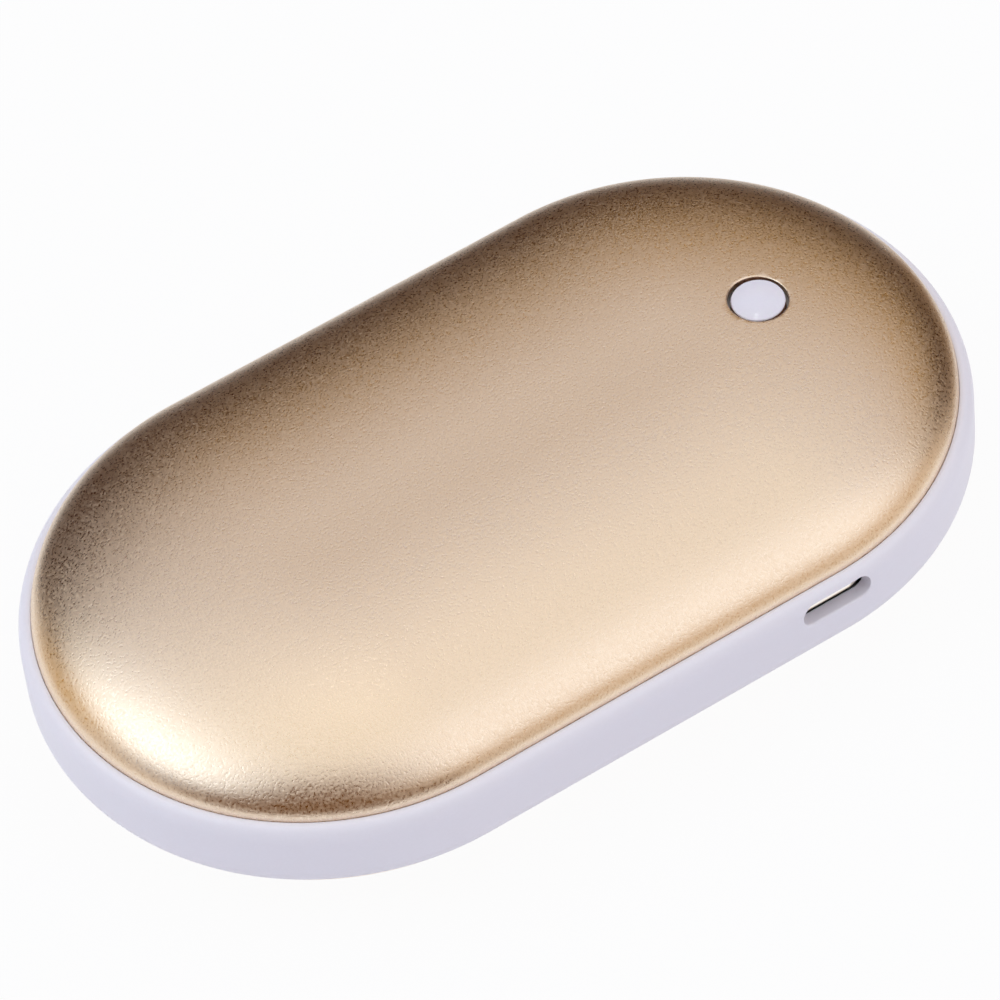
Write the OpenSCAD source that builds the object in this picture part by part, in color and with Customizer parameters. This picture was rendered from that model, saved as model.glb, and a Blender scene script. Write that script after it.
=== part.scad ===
// Rechargeable hand warmer: two domed metal shells on a white plastic band.
// Millimetres, +Z up, +X towards the button end, -Y towards the charging inlet.
// The origin is the middle of the flat that the body rests on.
// A cross-section is drawn as [u, z]: u is the distance from the spine, the straight
// line that the two round ends share, and z is the height.

/* [Body] */
// Length of the whole body
body_l = 102; // [100:0.5:108]
// Width of the whole body
body_w = 60; // [59:0.5:64]
// Height of the whole body, over both domes
body_h = 23.5; // [23:0.25:27]

/* [Shells] */
// Wall of the two metal shells
shell_wall = 0.8; // [0.6:0.05:1]
// Half width of the flat in the middle of each dome
rest_half_w = 3; // [2:0.5:5]
// Fullness of the dome: 2 is an ellipse, more is squarer
dome_power = 2.2; // [2:0.05:2.6]
// Depth of the skirt that stands inside the band
skirt_depth = 2; // [1.6:0.1:2.4]
// Gap between a shell's skirt and the band's lip
shell_gap = 0.1; // [0.05:0.01:0.2]

/* [Band] */
// Height of the band between the two shells
band_h = 8.3; // [8:0.1:9]
// Width of the band's lip round each shell
band_lip = 1.45; // [1.35:0.05:1.7]
// Width of the band's rounded edge
band_round_w = 1.2; // [0.8:0.05:1.3]
// Height of the band's rounded edge
band_round_h = 2.1; // [1.5:0.1:2.6]
// Wall of the band below the ledges that carry the shells
band_core_wall = 2.6; // [2.4:0.1:2.8]
// Thickness of the flange that the inner trays clamp
web_t = 1.6; // [1.4:0.1:1.8]

/* [Button] */
// Distance of the button before the frame screws
button_setback = 5.5; // [5:0.1:6]
// Diameter of the button cap
button_d = 5.5; // [5:0.1:6]
// Gap round the cap where it shows in the shell
button_gap = 0.35; // [0.25:0.05:0.5]
// Running gap round the cap in its guide
button_fit = 0.08; // [0.05:0.01:0.1]
// Height of the cap's domed top
button_crown = 0.45; // [0.3:0.05:0.7]
// Depth of the cap's rim below the shell
button_recess = 0.25; // [0.1:0.05:0.4]
// Travel of the button
button_travel = 0.25; // [0.2:0.05:0.4]
// Bevel of the edge of the hole in the shell
hole_bevel = 0.15; // [0.1:0.05:0.25]

/* [Charging inlet] */
// Distance of the inlet's middle before the main board's edge
port_setback = 0.6; // [0:0.1:1.2]
// Height of the inlet's middle above the band's middle
port_z = 1.8; // [1.7:0.05:1.9]
// Length of the inlet's opening
port_l = 8; // [7.8:0.1:8.4]
// Height of the inlet's opening
port_h = 2.8; // [2.7:0.05:2.9]
// Corner radius of the inlet's opening
port_round = 1.25; // [0.6:0.05:1.4]
// Wall of the band in front of the inlet
port_wall = 1.55; // [1.35:0.05:1.75]

/* [Heaters] */
// Thickness of the sheet of glue between shell and heater
glue_t = 0.1; // [0.05:0.01:0.15]
// Thickness of the heater's plastic film
film_t = 0.2; // [0.1:0.02:0.25]
// Thickness of the heater's metal track
track_t = 0.1; // [0.05:0.01:0.12]
// Width of the heater's metal track
track_w = 1.2; // [0.8:0.1:1.6]
// Distance of the track from the edge of its film
track_margin = 1.75; // [1.5:0.05:2.5]
// Thickness of the foam between heater and tray
foam_t = 0.8; // [0.6:0.05:1]
// Free space over and under the foam
foam_gap = 0.3; // [0.25:0.01:0.35]

/* [Trays] */
// Wall of the two inner trays
tray_wall = 1; // [0.8:0.05:1.1]
// Thickness of the ribs inside the trays
rib_t = 1.2; // [1:0.1:1.4]
// Angle of the frame screws about the round ends' centres
frame_screw_angle = 34.26; // [32:0.02:37]
// Gap between a frame screw's boss and the tray's wall
frame_screw_gap = 2.45; // [2:0.05:2.8]

/* [Battery] */
// Gap between a cell and the frame's flange, which the leads run in
cell_channel = 5.35; // [5:0.05:7]
// Gap between a cell and the bosses at the far end
cell_boss_gap = 5; // [4:0.1:8]
// Height of the ribs between a tray's crown and its cell
cell_headroom = 1.9; // [1.7:0.1:3]
// Thickness of the tape between the cells
tape_t = 0.5; // [0.3:0.1:0.7]

/* [Circuit board] */
// Thickness of the main board
board_t = 1.2; // [1:0.1:1.3]
// Length of the main board's wide part
board_wide_l = 11.9; // [11.6:0.1:12.5]
// Gap between the main board's side and the frame's flange
board_side_gap = 4.8; // [4.5:0.1:5.5]
// Outer radius of a lead's insulation
lead_r = 0.45; // [0.35:0.05:0.5]

/* [Hidden] */

// Overrun of every cut, so that no skin is left
over = 1;
// Steps in a dome's curve, and how many of them the heater covers
dome_steps = 24;
heater_steps = 11;
// Steps in a rounded corner and in a small arc
corner_steps = 6;
// Facets of a full circle
$fn = 64;

// Body
spine_l = body_l - body_w;
shell_r = body_w / 2 - band_lip;
dome_h = (body_h - band_h) / 2;
// Height of the band's middle in a dome's own frame, whose zero is the band's edge
mid_z = -band_h / 2;

// Band
lip_r = shell_r + shell_gap;
core_r = body_w / 2 - band_core_wall;
ledge_z = band_h / 2 - skirt_depth;
round_w = min(band_round_w, band_lip - shell_gap);
round_h = min(band_round_h, skirt_depth + ledge_z);

// Layers below a shell, each by its inset from the shell's outer face
film_in = shell_wall + glue_t;
track_in = film_in + film_t;
foam_in = track_in + track_t + foam_gap;
tray_in = foam_in + foam_t + foam_gap;
tray_core = tray_in + tray_wall;
tray_skirt = -mid_z - web_t / 2;
web_overlap = 0.6;
web_r = shell_r - tray_core - web_overlap;

// Inner radius of the trays' wall, and the bosses of the frame screws in its corners
round_x = spine_l / 2;
tray_r = shell_r - tray_core;
boss_r = 2.9;
boss_gap = 0.05;
frame_screw_r = tray_r - boss_r - frame_screw_gap;
frame_screw_x = round_x + frame_screw_r * cos(frame_screw_angle);
frame_screw_y = frame_screw_r * sin(frame_screw_angle);

// Button and its guide
button_x = frame_screw_x - button_setback;
button_r = button_d / 2;
hole_r = button_r + button_gap;
guide_r = button_r + button_fit;
guide_wall = 0.92;
guide_outer_r = guide_r + guide_wall;
guide_clear = 0.3;
flange_t = 0.8;
flange_gap = 0.1;
flange_r = guide_outer_r - flange_gap;
stem_r = 1.3;
stem_l = 0.9;

// Outline of the main board
board_boss_gap = 1.8;
board_nose_gap = 3.35;
nose_boss_gap = 0.7;
board_half_w = web_r - board_side_gap;
shoulder_x = frame_screw_x - boss_r - board_boss_gap;
board_x = shoulder_x - board_wide_l;
nose_x = round_x + web_r - board_nose_gap;
nose_half_w = frame_screw_y - boss_r - nose_boss_gap;
port_x = board_x - port_setback;

// Heater
heater_hole_gap = 0.5;
heater_hole_r = guide_outer_r + heater_hole_gap;
track_runs = 8;
// Distance of the outer runs from the spine, as a share of the track's reach
outer_run_share = 0.78;
lead_edge = 4.9;
track_reach = dome_point(track_in, heater_steps)[0] - track_margin;
lead_y = track_reach * outer_run_share;
lead_x = board_x + lead_edge;
track_pitch = 2 * lead_y / (track_runs - 1);
track_pad_r = 1.4;
lead_hole_r = 1.3;
lead_end_gap = 0.1;

// Charging inlet
usb_w = 7.5;
usb_h = 2.6;
usb_l = 5.2;
usb_wall = 0.3;
usb_bevel_w = 1.3;
usb_bevel_h = 0.9;
usb_lip = 0.2;
usb_lip_l = 0.2;
usb_side_gap = 0.35;
usb_front_gap = 0.15;
tongue_w = 5.2;
tongue_t = 0.65;
tongue_back_l = 0.9;
tongue_front_gap = 0.7;
contact_w = 0.35;
contact_t = 0.12;
contact_pitch = 0.65;
contact_tail_l = 0.8;
usb_front_y = -body_w / 2 + port_wall + usb_front_gap;
pocket_half_l = usb_w / 2 + usb_lip + 2 * usb_side_gap;
pocket_h = board_t + usb_h + usb_lip + 2 * usb_side_gap;

// Circuit board
board_top = port_z - usb_h / 2;
board_bottom = board_top - board_t;
board_edge_gap = 0.5;
board_screw_edge = 3;
board_screw_side = 4;
board_screw_x = shoulder_x - board_screw_edge;
board_screw_y = board_half_w - board_screw_side;
board_screw_r = 0.8;
board_screw_l = 5;
board_screw_head_r = 1.5;
board_screw_head_h = 1;
board_hole_gap = 0.15;

// Cells and protection board
cell_round = 3;
cell_side_gap = 0.3;
terrace_l = 1.2;
terrace_t = 0.3;
terrace_margin = 1;
tab_w = 4;
tab_t = 0.15;
tab_reach = 1;
tab_grip = 0.6;
guard_t = 0.8;
guard_half_h = 4.2;
guard_chip = 3;
guard_chip_t = 0.9;
guard_chip_y = 4;
guard_board_gap = 0.7;
guard_margin = 4;
tab_margin = 7;
tape_margin = 4;
guard_x = board_x - guard_board_gap - guard_chip_t - guard_t;
cell_end_x = guard_x - tab_reach - terrace_l;
cell_far_x = frame_screw_x - boss_r - cell_boss_gap;
cell_l = cell_end_x + cell_far_x;
cell_x = (cell_end_x - cell_far_x) / 2;
cell_w = 2 * (web_r - cell_channel);
cell_top = dome_h - mid_z - tray_core - cell_headroom;
cell_t = cell_top - tape_t / 2;
guard_half_l = cell_w / 2 - guard_margin;
tab_y = guard_half_l - tab_margin;

// Trays
rail_inset = 7;
rail_y = cell_w / 2 - rail_inset;
rail_margin = 3;
stop_inset = 9;
stop_half_w = cell_w / 2 - stop_inset;
stop_z = 1;
side_rib_margin = 11;
side_rib_z = 1.5;
board_boss_r = 2.2;
guard_slot_gap = 0.05;
guard_rib_w = 3;
guard_rib_reach = 1.2;
guard_rib_z = 3.6;

// Frame screws
screw_r = 1;
screw_gap = 0.15;
thread_gap = 0.05;
screw_head_r = 1.9;
screw_head_h = 1.3;
screw_sink = 1.1;
screw_l = 8;
screw_tip_gap = 0.6;
screw_seat_z = dome_height(frame_screw_r + boss_r, tray_in) - mid_z - screw_head_h - screw_sink;
pilot_depth = screw_l - screw_seat_z + screw_tip_gap;
screw_head_gap = 0.2;
// Length, width and depth of a screw's cross, as shares of its head
cross_shares = [1.3, 0.3, 0.5];

// Parts on the board
chip_w = 3.9;
chip_t = 1.4;
chip_lift = 0.1;
charge_chip_l = 4.9;
controller_chip_l = 8.6;
chip_lead_gap = 2.5;
charge_chip_y = charge_chip_l / 2 + lead_r + chip_lead_gap - lead_y;
controller_chip_y = lead_y - lead_r - chip_lead_gap - controller_chip_l / 2;
chip_edge_gap = 0.4;
leg_pitch = 1.27;
leg_w = 0.4;
leg_t = 0.2;
leg_reach = 1.05;
chip_x = board_x + chip_edge_gap + leg_reach + chip_w / 2;
leg_drop = 0.6;
transistor_w = 1.3;
transistor_l = 2.9;
transistor_t = 1;
transistor_edge = 2.7;
transistor_x = shoulder_x - transistor_edge;
transistor_leg_y = 0.95;
capacitor_size = [1.25, 2, 0.9];
capacitor_edge = 3.2;
capacitor_x = shoulder_x - capacitor_edge;
part_gap = 0.5;
capacitor_y = board_screw_y - board_screw_head_r - part_gap - capacitor_size[1] / 2;
transistor_y = capacitor_y - capacitor_size[1] / 2 - part_gap - transistor_l / 2;
capacitor_pitch = 2.2;
resistor_size = [0.8, 1.6, 0.45];
resistor_edge = 2.5;
resistor_x = nose_x - resistor_edge;
resistor_pitch = 2.4;
resistor_count = 4;
led_size = [0.8, 1.6, 0.6];
led_reach = 5.2;
led_pitch = 3;
fuse_r = 1;
fuse_l = 3.4;
fuse_y = (charge_chip_y + charge_chip_l / 2 + controller_chip_y - controller_chip_l / 2) / 2;
fuse_lead_r = 0.25;
fuse_lead_l = 0.9;
fuse_edge_gap = 0.9;
fuse_x = board_x + fuse_edge_gap + fuse_lead_l + fuse_l / 2;
fuse_lift = 0.15;

// Tactile switch, by heights above the board
switch_w = 6;
switch_well_r = 2.3;
switch_cover_t = 0.3;
switch_cover_hole_r = 1.8;
switch_cover_tab_w = 2;
switch_tab_share = 0.5;
switch_exposed_h = 1.6;
switch_well_depth = 1.2;
plunger_r = 1.7;
plunger_flange_r = 2.1;
plunger_flange_t = 0.45;
snap_r = 2.2;
snap_t = 0.12;
snap_pressed_h = 0.35;
snap_h = button_travel + snap_pressed_h;
switch_leg_w = 0.7;
switch_leg_t = 0.2;
switch_leg_h = 1.1;
switch_leg_reach = 1.1;
switch_leg_y = 2.25;

// Leads
wire_bend_share = 2;
thermistor_r = 0.7;
thermistor_lead_r = 0.25;
thermistor_pitch = 0.35;

// A list in the other order
function reversed(list) = [for (i = [len(list) - 1:-1:0]) list[i]];
// An outline that starts and ends on the axis, joined to its mirror image
function both_sides(outline) = concat(outline, [for (p = reversed(outline)) if (p[0] > 0) [-p[0], p[1]]]);
// The outline of a rectangle with rounded corners
function rounded_outline(l, w, r) = [
    for (q = [0:3], i = [0:corner_steps])
        let (a = 90 * (q + i / corner_steps), x_side = q == 0 || q == 3 ? 1 : -1, y_side = q < 2 ? 1 : -1)
            [x_side * (l / 2 - r) + r * cos(a), y_side * (w / 2 - r) + r * sin(a)]];

// A point of the dome's curve, inset from the shell's outer face: step 0 is the crown
function dome_point(inset, i) = [
    rest_half_w + (shell_r - inset - rest_half_w) * pow(sin(90 * i / dome_steps), 2 / dome_power),
    (dome_h - inset) * cos(90 * i / dome_steps)];
function dome_curve(inset, last) = [for (i = [0:last]) dome_point(inset, i)];
// Height of the same curve at a distance from the spine
function dome_height(u, inset) =
    (dome_h - inset) * sqrt(1 - pow(max(0, u - rest_half_w) / (shell_r - inset - rest_half_w), dome_power));
// Distance of a place in plan from the spine
function spine_distance(x, y) = norm([max(0, abs(x) - spine_l / 2), y]);

// The wall between two insets, with a skirt below it
function wall_outline(outer, inner, skirt) = concat(
    [[0, dome_h - outer]], dome_curve(outer, dome_steps),
    [[shell_r - outer, -skirt], [shell_r - inner, -skirt]],
    reversed(dome_curve(inner, dome_steps)), [[0, dome_h - inner]]);
// All that lies under an inset, down to a depth
function fill_outline(inset, depth) = concat(
    [[0, dome_h - inset]], dome_curve(inset, dome_steps), [[shell_r - inset, -depth], [0, -depth]]);
// A sheet between two insets that covers the middle of the dome
function sheet_outline(outer, inner) = concat(
    [[0, dome_h - outer]], dome_curve(outer, heater_steps),
    reversed(dome_curve(inner, heater_steps)), [[0, dome_h - inner]]);

// The two round ends of a body whose plan is a stadium
module stadium_ends(outline) {
    for (end = [0, 1])
        mirror([end, 0, 0])
            translate([spine_l / 2, 0, 0])
                rotate([0, 0, -90])
                    rotate_extrude(angle = 180, $fn = 128)
                        polygon(outline);
}

// The straight part of the same body
module stadium_middle(outline) {
    rotate([90, 0, 90])
        translate([0, 0, -spine_l / 2])
            linear_extrude(spine_l)
                polygon(outline);
}

// A body from an outline that starts and ends on the axis
module stadium_solid(outline) {
    stadium_ends(outline);
    stadium_middle(both_sides(outline));
}

// A ring from an outline that stays off the axis
module stadium_ring(outline) {
    stadium_ends(outline);
    stadium_middle(outline);
    mirror([0, 1, 0]) stadium_middle(outline);
}

// The frames that the pieces are drawn in: the band's middle, and each dome's base
module at_middle() {
    translate([0, 0, body_h / 2]) children();
}

module top_side() {
    translate([0, 0, (body_h + band_h) / 2]) children();
}

module bottom_side() {
    translate([0, 0, (body_h - band_h) / 2]) mirror([0, 0, 1]) children();
}

// A box by its middle in plan and its lowest level
module block(size) {
    translate([-size[0] / 2, -size[1] / 2, 0]) cube(size);
}

// The four frame screws' places
module at_frame_screws() {
    for (x = [-frame_screw_x, frame_screw_x], y = [-frame_screw_y, frame_screw_y])
        translate([x, y, 0]) children();
}

// The places of the two leads on each side
module at_leads() {
    for (y = [-1, 1] * lead_y)
        translate([lead_x, y, 0]) children();
}

// The clearance that the inlet's socket takes out of the band and what lies behind it
module port_pocket() {
    translate([port_x - pocket_half_l, -body_w / 2 + port_wall, board_bottom - usb_side_gap])
        cube([2 * pocket_half_l, body_w / 2 - port_wall - web_r + over, pocket_h]);
}

// Metal shells
module shell_wall_solid() {
    stadium_solid(wall_outline(0, shell_wall, skirt_depth));
}

module top_shell() {
    surface_z = dome_height(spine_distance(button_x, 0), 0);
    color("#d8bb98") difference() {
        top_side() shell_wall_solid();
        at_middle() port_pocket();
        top_side() translate([button_x, 0, 0]) cylinder(h = dome_h + over, r = hole_r);
        top_side() translate([button_x, 0, surface_z - hole_bevel])
            cylinder(h = hole_bevel + over, r1 = hole_r, r2 = hole_r + hole_bevel + over);
    }
}

module bottom_shell() {
    color("#d8bb98") bottom_side() shell_wall_solid();
}

// White band
function band_edge(i) = [
    body_w / 2 - round_w * (1 - cos(90 * i / corner_steps)),
    band_h / 2 - round_h * (1 - sin(90 * i / corner_steps))];
band_half = concat(
    [for (i = [0:corner_steps]) band_edge(i)],
    [[lip_r, band_h / 2], [lip_r, ledge_z], [core_r, ledge_z], [core_r, web_t / 2], [web_r, web_t / 2]]);
band_outline = concat(band_half, [for (p = reversed(band_half)) [p[0], -p[1]]]);

module mid_frame() {
    color("#e4e3ec") at_middle() difference() {
        stadium_ring(band_outline);
        port_pocket();
        translate([port_x, -body_w / 2 - over, port_z])
            rotate([-90, 0, 0])
                linear_extrude(port_wall + 2 * over)
                    polygon(rounded_outline(port_l, port_h, port_round));
    }
}

// Inner trays: in a dome's own frame, with the band's middle at mid_z
module tray_ribs() {
    rail_z = mid_z + cell_top;
    for (y = [-rail_y, rail_y])
        translate([cell_x, y, rail_z]) block([cell_l - 2 * rail_margin, rib_t, dome_h]);
    for (y = [-1, 1] * (cell_w / 2 + cell_side_gap + rib_t / 2))
        translate([cell_x, y, mid_z + side_rib_z]) block([cell_l - 2 * side_rib_margin, rib_t, body_h / 2]);
    translate([cell_x - cell_l / 2 - cell_side_gap - rib_t / 2, 0, mid_z + stop_z])
        block([rib_t, 2 * stop_half_w, body_h / 2]);
}

module tray_bosses() {
    at_frame_screws() translate([0, 0, mid_z + boss_gap]) cylinder(h = body_h / 2, r = boss_r);
}

// A tray's wall with what stands on its inner side
module tray_body() {
    stadium_solid(wall_outline(tray_in, tray_core, tray_skirt));
    intersection() {
        stadium_solid(fill_outline(tray_in, -mid_z));
        union() {
            tray_ribs();
            tray_bosses();
            children();
        }
    }
}

guide_u = spine_distance(button_x, 0) + guide_outer_r;
guide_bottom = dome_height(guide_u, tray_core) - guide_clear;
guide_top = dome_height(guide_u, shell_wall) - guide_clear;

module upper_tray() {
    seat_z = mid_z + screw_seat_z;
    color("#dcdcdf") difference() {
        top_side() union() {
            tray_body();
            translate([button_x, 0, guide_bottom]) cylinder(h = guide_top - guide_bottom, r = guide_outer_r);
        }
        top_side() translate([button_x, 0, mid_z]) cylinder(h = body_h / 2 + over, r = guide_r);
        top_side() at_frame_screws() translate([0, 0, mid_z])
            cylinder(h = body_h / 2, r = screw_r + screw_gap);
        top_side() at_frame_screws() translate([0, 0, seat_z])
            cylinder(h = body_h / 2, r = screw_head_r + screw_head_gap);
        top_side() at_leads() cylinder(h = dome_h + over, r = lead_hole_r);
        at_middle() port_pocket();
    }
}

// Posts that carry the main board, and the slotted ribs that hold the protection board
module board_posts() {
    post_z = mid_z - board_bottom;
    for (y = [-board_screw_y, board_screw_y])
        translate([board_screw_x, y, post_z]) cylinder(h = body_h / 2, r = board_boss_r);
    translate([port_x, -(web_r + cell_w / 2) / 2, post_z]) block([usb_w, rib_t, body_h / 2]);
}

module guard_ribs() {
    for (y = [-1, 1] * (guard_half_l - guard_rib_w / 2))
        translate([guard_x + guard_t / 2, y, mid_z + guard_rib_z])
            block([guard_t + 2 * guard_rib_reach, guard_rib_w, body_h / 2]);
}

module lower_tray() {
    color("#dcdcdf") bottom_side() difference() {
        tray_body() {
            board_posts();
            guard_ribs();
        }
        translate([guard_x + guard_t / 2, 0, mid_z])
            block([guard_t + 2 * guard_slot_gap, 2 * (guard_half_l + guard_slot_gap), guard_half_h]);
        at_frame_screws() translate([0, 0, mid_z]) cylinder(h = pilot_depth, r = screw_r + thread_gap);
        for (y = [-board_screw_y, board_screw_y])
            translate([board_screw_x, y, mid_z]) cylinder(h = board_screw_l, r = board_screw_r + thread_gap);
        at_leads() cylinder(h = dome_h + over, r = lead_hole_r);
    }
}

// Heaters: glue, film and track follow the inside of the shell
module heater_sheet(outer, inner) {
    difference() {
        stadium_solid(sheet_outline(outer, inner));
        translate([button_x, 0, 0]) cylinder(h = dome_h + over, r = heater_hole_r);
    }
}

// Height of a run across the body, and where its links stand along it
function run_y(i) = (i - (track_runs - 1) / 2) * track_pitch;
function far_x(i) = spine_l / 2 + sqrt(pow(track_reach, 2) - pow(max(abs(run_y(i)), abs(run_y(i + 1))), 2));
function near_x(i) =
    min(abs(run_y(i)), abs(run_y(i + 1))) < heater_hole_r + track_w / 2
        ? button_x - heater_hole_r - track_w : far_x(i);
function left_x(i) = -far_x(i % 2 == 0 ? i : i - 1);
function right_x(i) = i == 0 || i == track_runs - 1 ? lead_x : near_x(i % 2 == 0 ? i - 1 : i);

module track_plan() {
    for (i = [0:track_runs - 1])
        translate([(left_x(i) + right_x(i)) / 2, run_y(i), 0])
            block([right_x(i) - left_x(i) + track_w, track_w, dome_h]);
    for (i = [0:2:track_runs - 2])
        translate([left_x(i), (run_y(i) + run_y(i + 1)) / 2, 0]) block([track_w, track_pitch, dome_h]);
    for (i = [1:2:track_runs - 2])
        translate([right_x(i), (run_y(i) + run_y(i + 1)) / 2, 0]) block([track_w, track_pitch, dome_h]);
    at_leads() cylinder(h = dome_h, r = track_pad_r);
}

module heater_track() {
    intersection() {
        stadium_solid(sheet_outline(track_in, track_in + track_t));
        track_plan();
    }
}

module foam_sheet() {
    difference() {
        heater_sheet(foam_in, foam_in + foam_t);
        at_leads() cylinder(h = dome_h + over, r = lead_hole_r);
    }
}

module top_glue_sheet() {
    color("#e8e2c8") top_side() heater_sheet(shell_wall, film_in);
}

module bottom_glue_sheet() {
    color("#e8e2c8") bottom_side() heater_sheet(shell_wall, film_in);
}

module top_heater_film() {
    color("#b5651d") top_side() heater_sheet(film_in, track_in);
}

module bottom_heater_film() {
    color("#b5651d") bottom_side() heater_sheet(film_in, track_in);
}

module top_heater_track() {
    color("#8d8d90") top_side() heater_track();
}

module bottom_heater_track() {
    color("#8d8d90") bottom_side() heater_track();
}

module top_foam() {
    color("#3c3c3e") top_side() foam_sheet();
}

module bottom_foam() {
    color("#3c3c3e") bottom_side() foam_sheet();
}

// Beads of sealant that bond the skirts to the band's ledges
sealant_h = skirt_depth / 2;
sealant_outline = [
    [core_r, ledge_z], [shell_r - shell_wall, ledge_z],
    [shell_r - shell_wall, ledge_z + sealant_h], [core_r, ledge_z + sealant_h]];

module top_sealant() {
    color("#f2f2f0") at_middle() difference() {
        stadium_ring(sealant_outline);
        port_pocket();
    }
}

module bottom_sealant() {
    color("#f2f2f0") at_middle() mirror([0, 0, 1]) stadium_ring(sealant_outline);
}

// Button cap: a crowned cylinder, a flange that stops it in the guide, and a stem
cap_rim_z = dome_height(spine_distance(button_x, 0), 0) - mid_z - button_recess;
cap_flange_z = guide_bottom - mid_z - flange_gap - flange_t;
plunger_top = cap_flange_z - stem_l;
switch_h = plunger_top - board_top;
crown_r = (pow(button_r, 2) + pow(button_crown, 2)) / (2 * button_crown);

module button_cap() {
    color("#e6e4f2") at_middle() translate([button_x, 0, 0]) {
        translate([0, 0, plunger_top]) cylinder(h = stem_l + flange_t / 2, r = stem_r);
        translate([0, 0, cap_flange_z]) cylinder(h = flange_t, r = flange_r);
        intersection() {
            translate([0, 0, cap_flange_z + flange_t / 2])
                cylinder(h = cap_rim_z + button_crown + over - cap_flange_z, r = button_r);
            translate([0, 0, cap_rim_z + button_crown - crown_r]) sphere(r = crown_r, $fn = 96);
        }
    }
}

// Pouch cells with their sealed edge and tabs at the board end
module pouch_cell() {
    terrace_z = tape_t / 2 + (cell_t - terrace_t) / 2;
    translate([cell_x, 0, tape_t / 2])
        linear_extrude(cell_t)
            polygon(rounded_outline(cell_l, cell_w, cell_round));
    translate([cell_end_x - terrace_l, -cell_w / 2 + cell_round + terrace_margin, terrace_z])
        cube([2 * terrace_l, cell_w - 2 * (cell_round + terrace_margin), terrace_t]);
}

module upper_cell() {
    color("#c9ccd0") at_middle() pouch_cell();
}

module lower_cell() {
    color("#c9ccd0") at_middle() mirror([0, 0, 1]) pouch_cell();
}

module cell_tape() {
    color("#d9b44a") at_middle() translate([cell_x, 0, -tape_t / 2])
        block([cell_l - 2 * tape_margin, cell_w - 2 * tape_margin, tape_t]);
}

module cell_tabs() {
    tab_z = tape_t / 2 + (cell_t + terrace_t) / 2;
    color("#b9b9b4") at_middle()
        for (side = [0, 1], y = [-tab_y, tab_y])
            mirror([0, 0, side])
                translate([guard_x - tab_reach - tab_grip, y - tab_w / 2, tab_z])
                    cube([tab_reach + tab_grip, tab_w, tab_t]);
}

module protection_board() {
    color("#1f6b3a") at_middle() translate([guard_x + guard_t / 2, 0, -guard_half_h])
        block([guard_t, 2 * guard_half_l, 2 * guard_half_h]);
}

module protection_chips() {
    color("#26262a") at_middle()
        for (y = [-guard_chip_y, guard_chip_y])
            translate([guard_x + guard_t, y - guard_chip / 2, -guard_chip / 2])
                cube([guard_chip_t, guard_chip, guard_chip]);
}

// Main board: a wide part, a nose below the button and a tongue below the inlet
tongue_half_l = pocket_half_l - usb_side_gap;
tongue_y = -cell_w / 2 - cell_side_gap;
board_front_y = -core_r + board_edge_gap;
board_outline = [
    [board_x, board_half_w], [shoulder_x, board_half_w], [shoulder_x, nose_half_w], [nose_x, nose_half_w],
    [nose_x, -nose_half_w], [shoulder_x, -nose_half_w], [shoulder_x, -board_half_w],
    [port_x + tongue_half_l, -board_half_w], [port_x + tongue_half_l, board_front_y],
    [port_x - tongue_half_l, board_front_y], [port_x - tongue_half_l, tongue_y], [board_x, tongue_y]];

module main_board() {
    color("#1f6b3a") at_middle() translate([0, 0, board_bottom]) difference() {
        linear_extrude(board_t) polygon(board_outline);
        for (y = [-board_screw_y, board_screw_y])
            translate([board_screw_x, y, -over])
                cylinder(h = board_t + 2 * over, r = board_screw_r + board_hole_gap);
    }
}

// Everything that stands on the main board is drawn from the board's upper face
module on_board(x, y) {
    at_middle() translate([x, y, board_top]) children();
}

module charge_chip() {
    color("#26262a") on_board(chip_x, charge_chip_y)
        translate([0, 0, chip_lift]) block([chip_w, charge_chip_l, chip_t]);
}

module controller_chip() {
    color("#26262a") on_board(chip_x, controller_chip_y)
        translate([0, 0, chip_lift]) block([chip_w, controller_chip_l, chip_t]);
}

module heater_transistors() {
    color("#26262a")
        for (y = [-transistor_y, transistor_y])
            on_board(transistor_x, y) translate([0, 0, chip_lift])
                block([transistor_w, transistor_l, transistor_t]);
}

// A bent leg that starts at a body's side and ends in a foot on the board
module chip_leg(drop, reach) {
    rotate([90, 0, 0]) translate([0, 0, -leg_w / 2]) linear_extrude(leg_w)
        polygon([
            [0, drop], [leg_t + reach / 3, drop], [leg_t + reach / 3, leg_t], [reach, leg_t],
            [reach, 0], [reach / 3, 0], [reach / 3, drop - leg_t], [0, drop - leg_t]]);
}

module leg_row(count, half_w) {
    for (side = [0, 1], i = [0:count - 1])
        mirror([side, 0, 0])
            translate([half_w, (i - (count - 1) / 2) * leg_pitch, 0]) chip_leg(leg_drop + leg_t, leg_reach);
}

module chip_legs() {
    color("#c8c8c8") union() {
        on_board(chip_x, charge_chip_y) leg_row(4, chip_w / 2);
        on_board(chip_x, controller_chip_y) leg_row(7, chip_w / 2);
        for (y = [-transistor_y, transistor_y])
            on_board(transistor_x, y) {
                for (leg_y = [-transistor_leg_y, transistor_leg_y])
                    translate([transistor_w / 2, leg_y, 0]) chip_leg(leg_drop, leg_reach / 2);
                mirror([1, 0, 0]) translate([transistor_w / 2, 0, 0]) chip_leg(leg_drop, leg_reach / 2);
            }
    }
}

module capacitors() {
    color("#b79b74")
        for (side = [-1, 1], i = [0, 1])
            on_board(capacitor_x + (i - 1 / 2) * capacitor_pitch, side * capacitor_y) block(capacitor_size);
}

module resistors() {
    color("#303034")
        for (i = [0:resistor_count - 1])
            on_board(resistor_x, (i - (resistor_count - 1) / 2) * resistor_pitch) block(resistor_size);
}

module indicator_leds() {
    color("#e9e6c0")
        for (i = [-1, 0, 1])
            on_board(button_x + led_reach, i * led_pitch) block(led_size);
}

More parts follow.
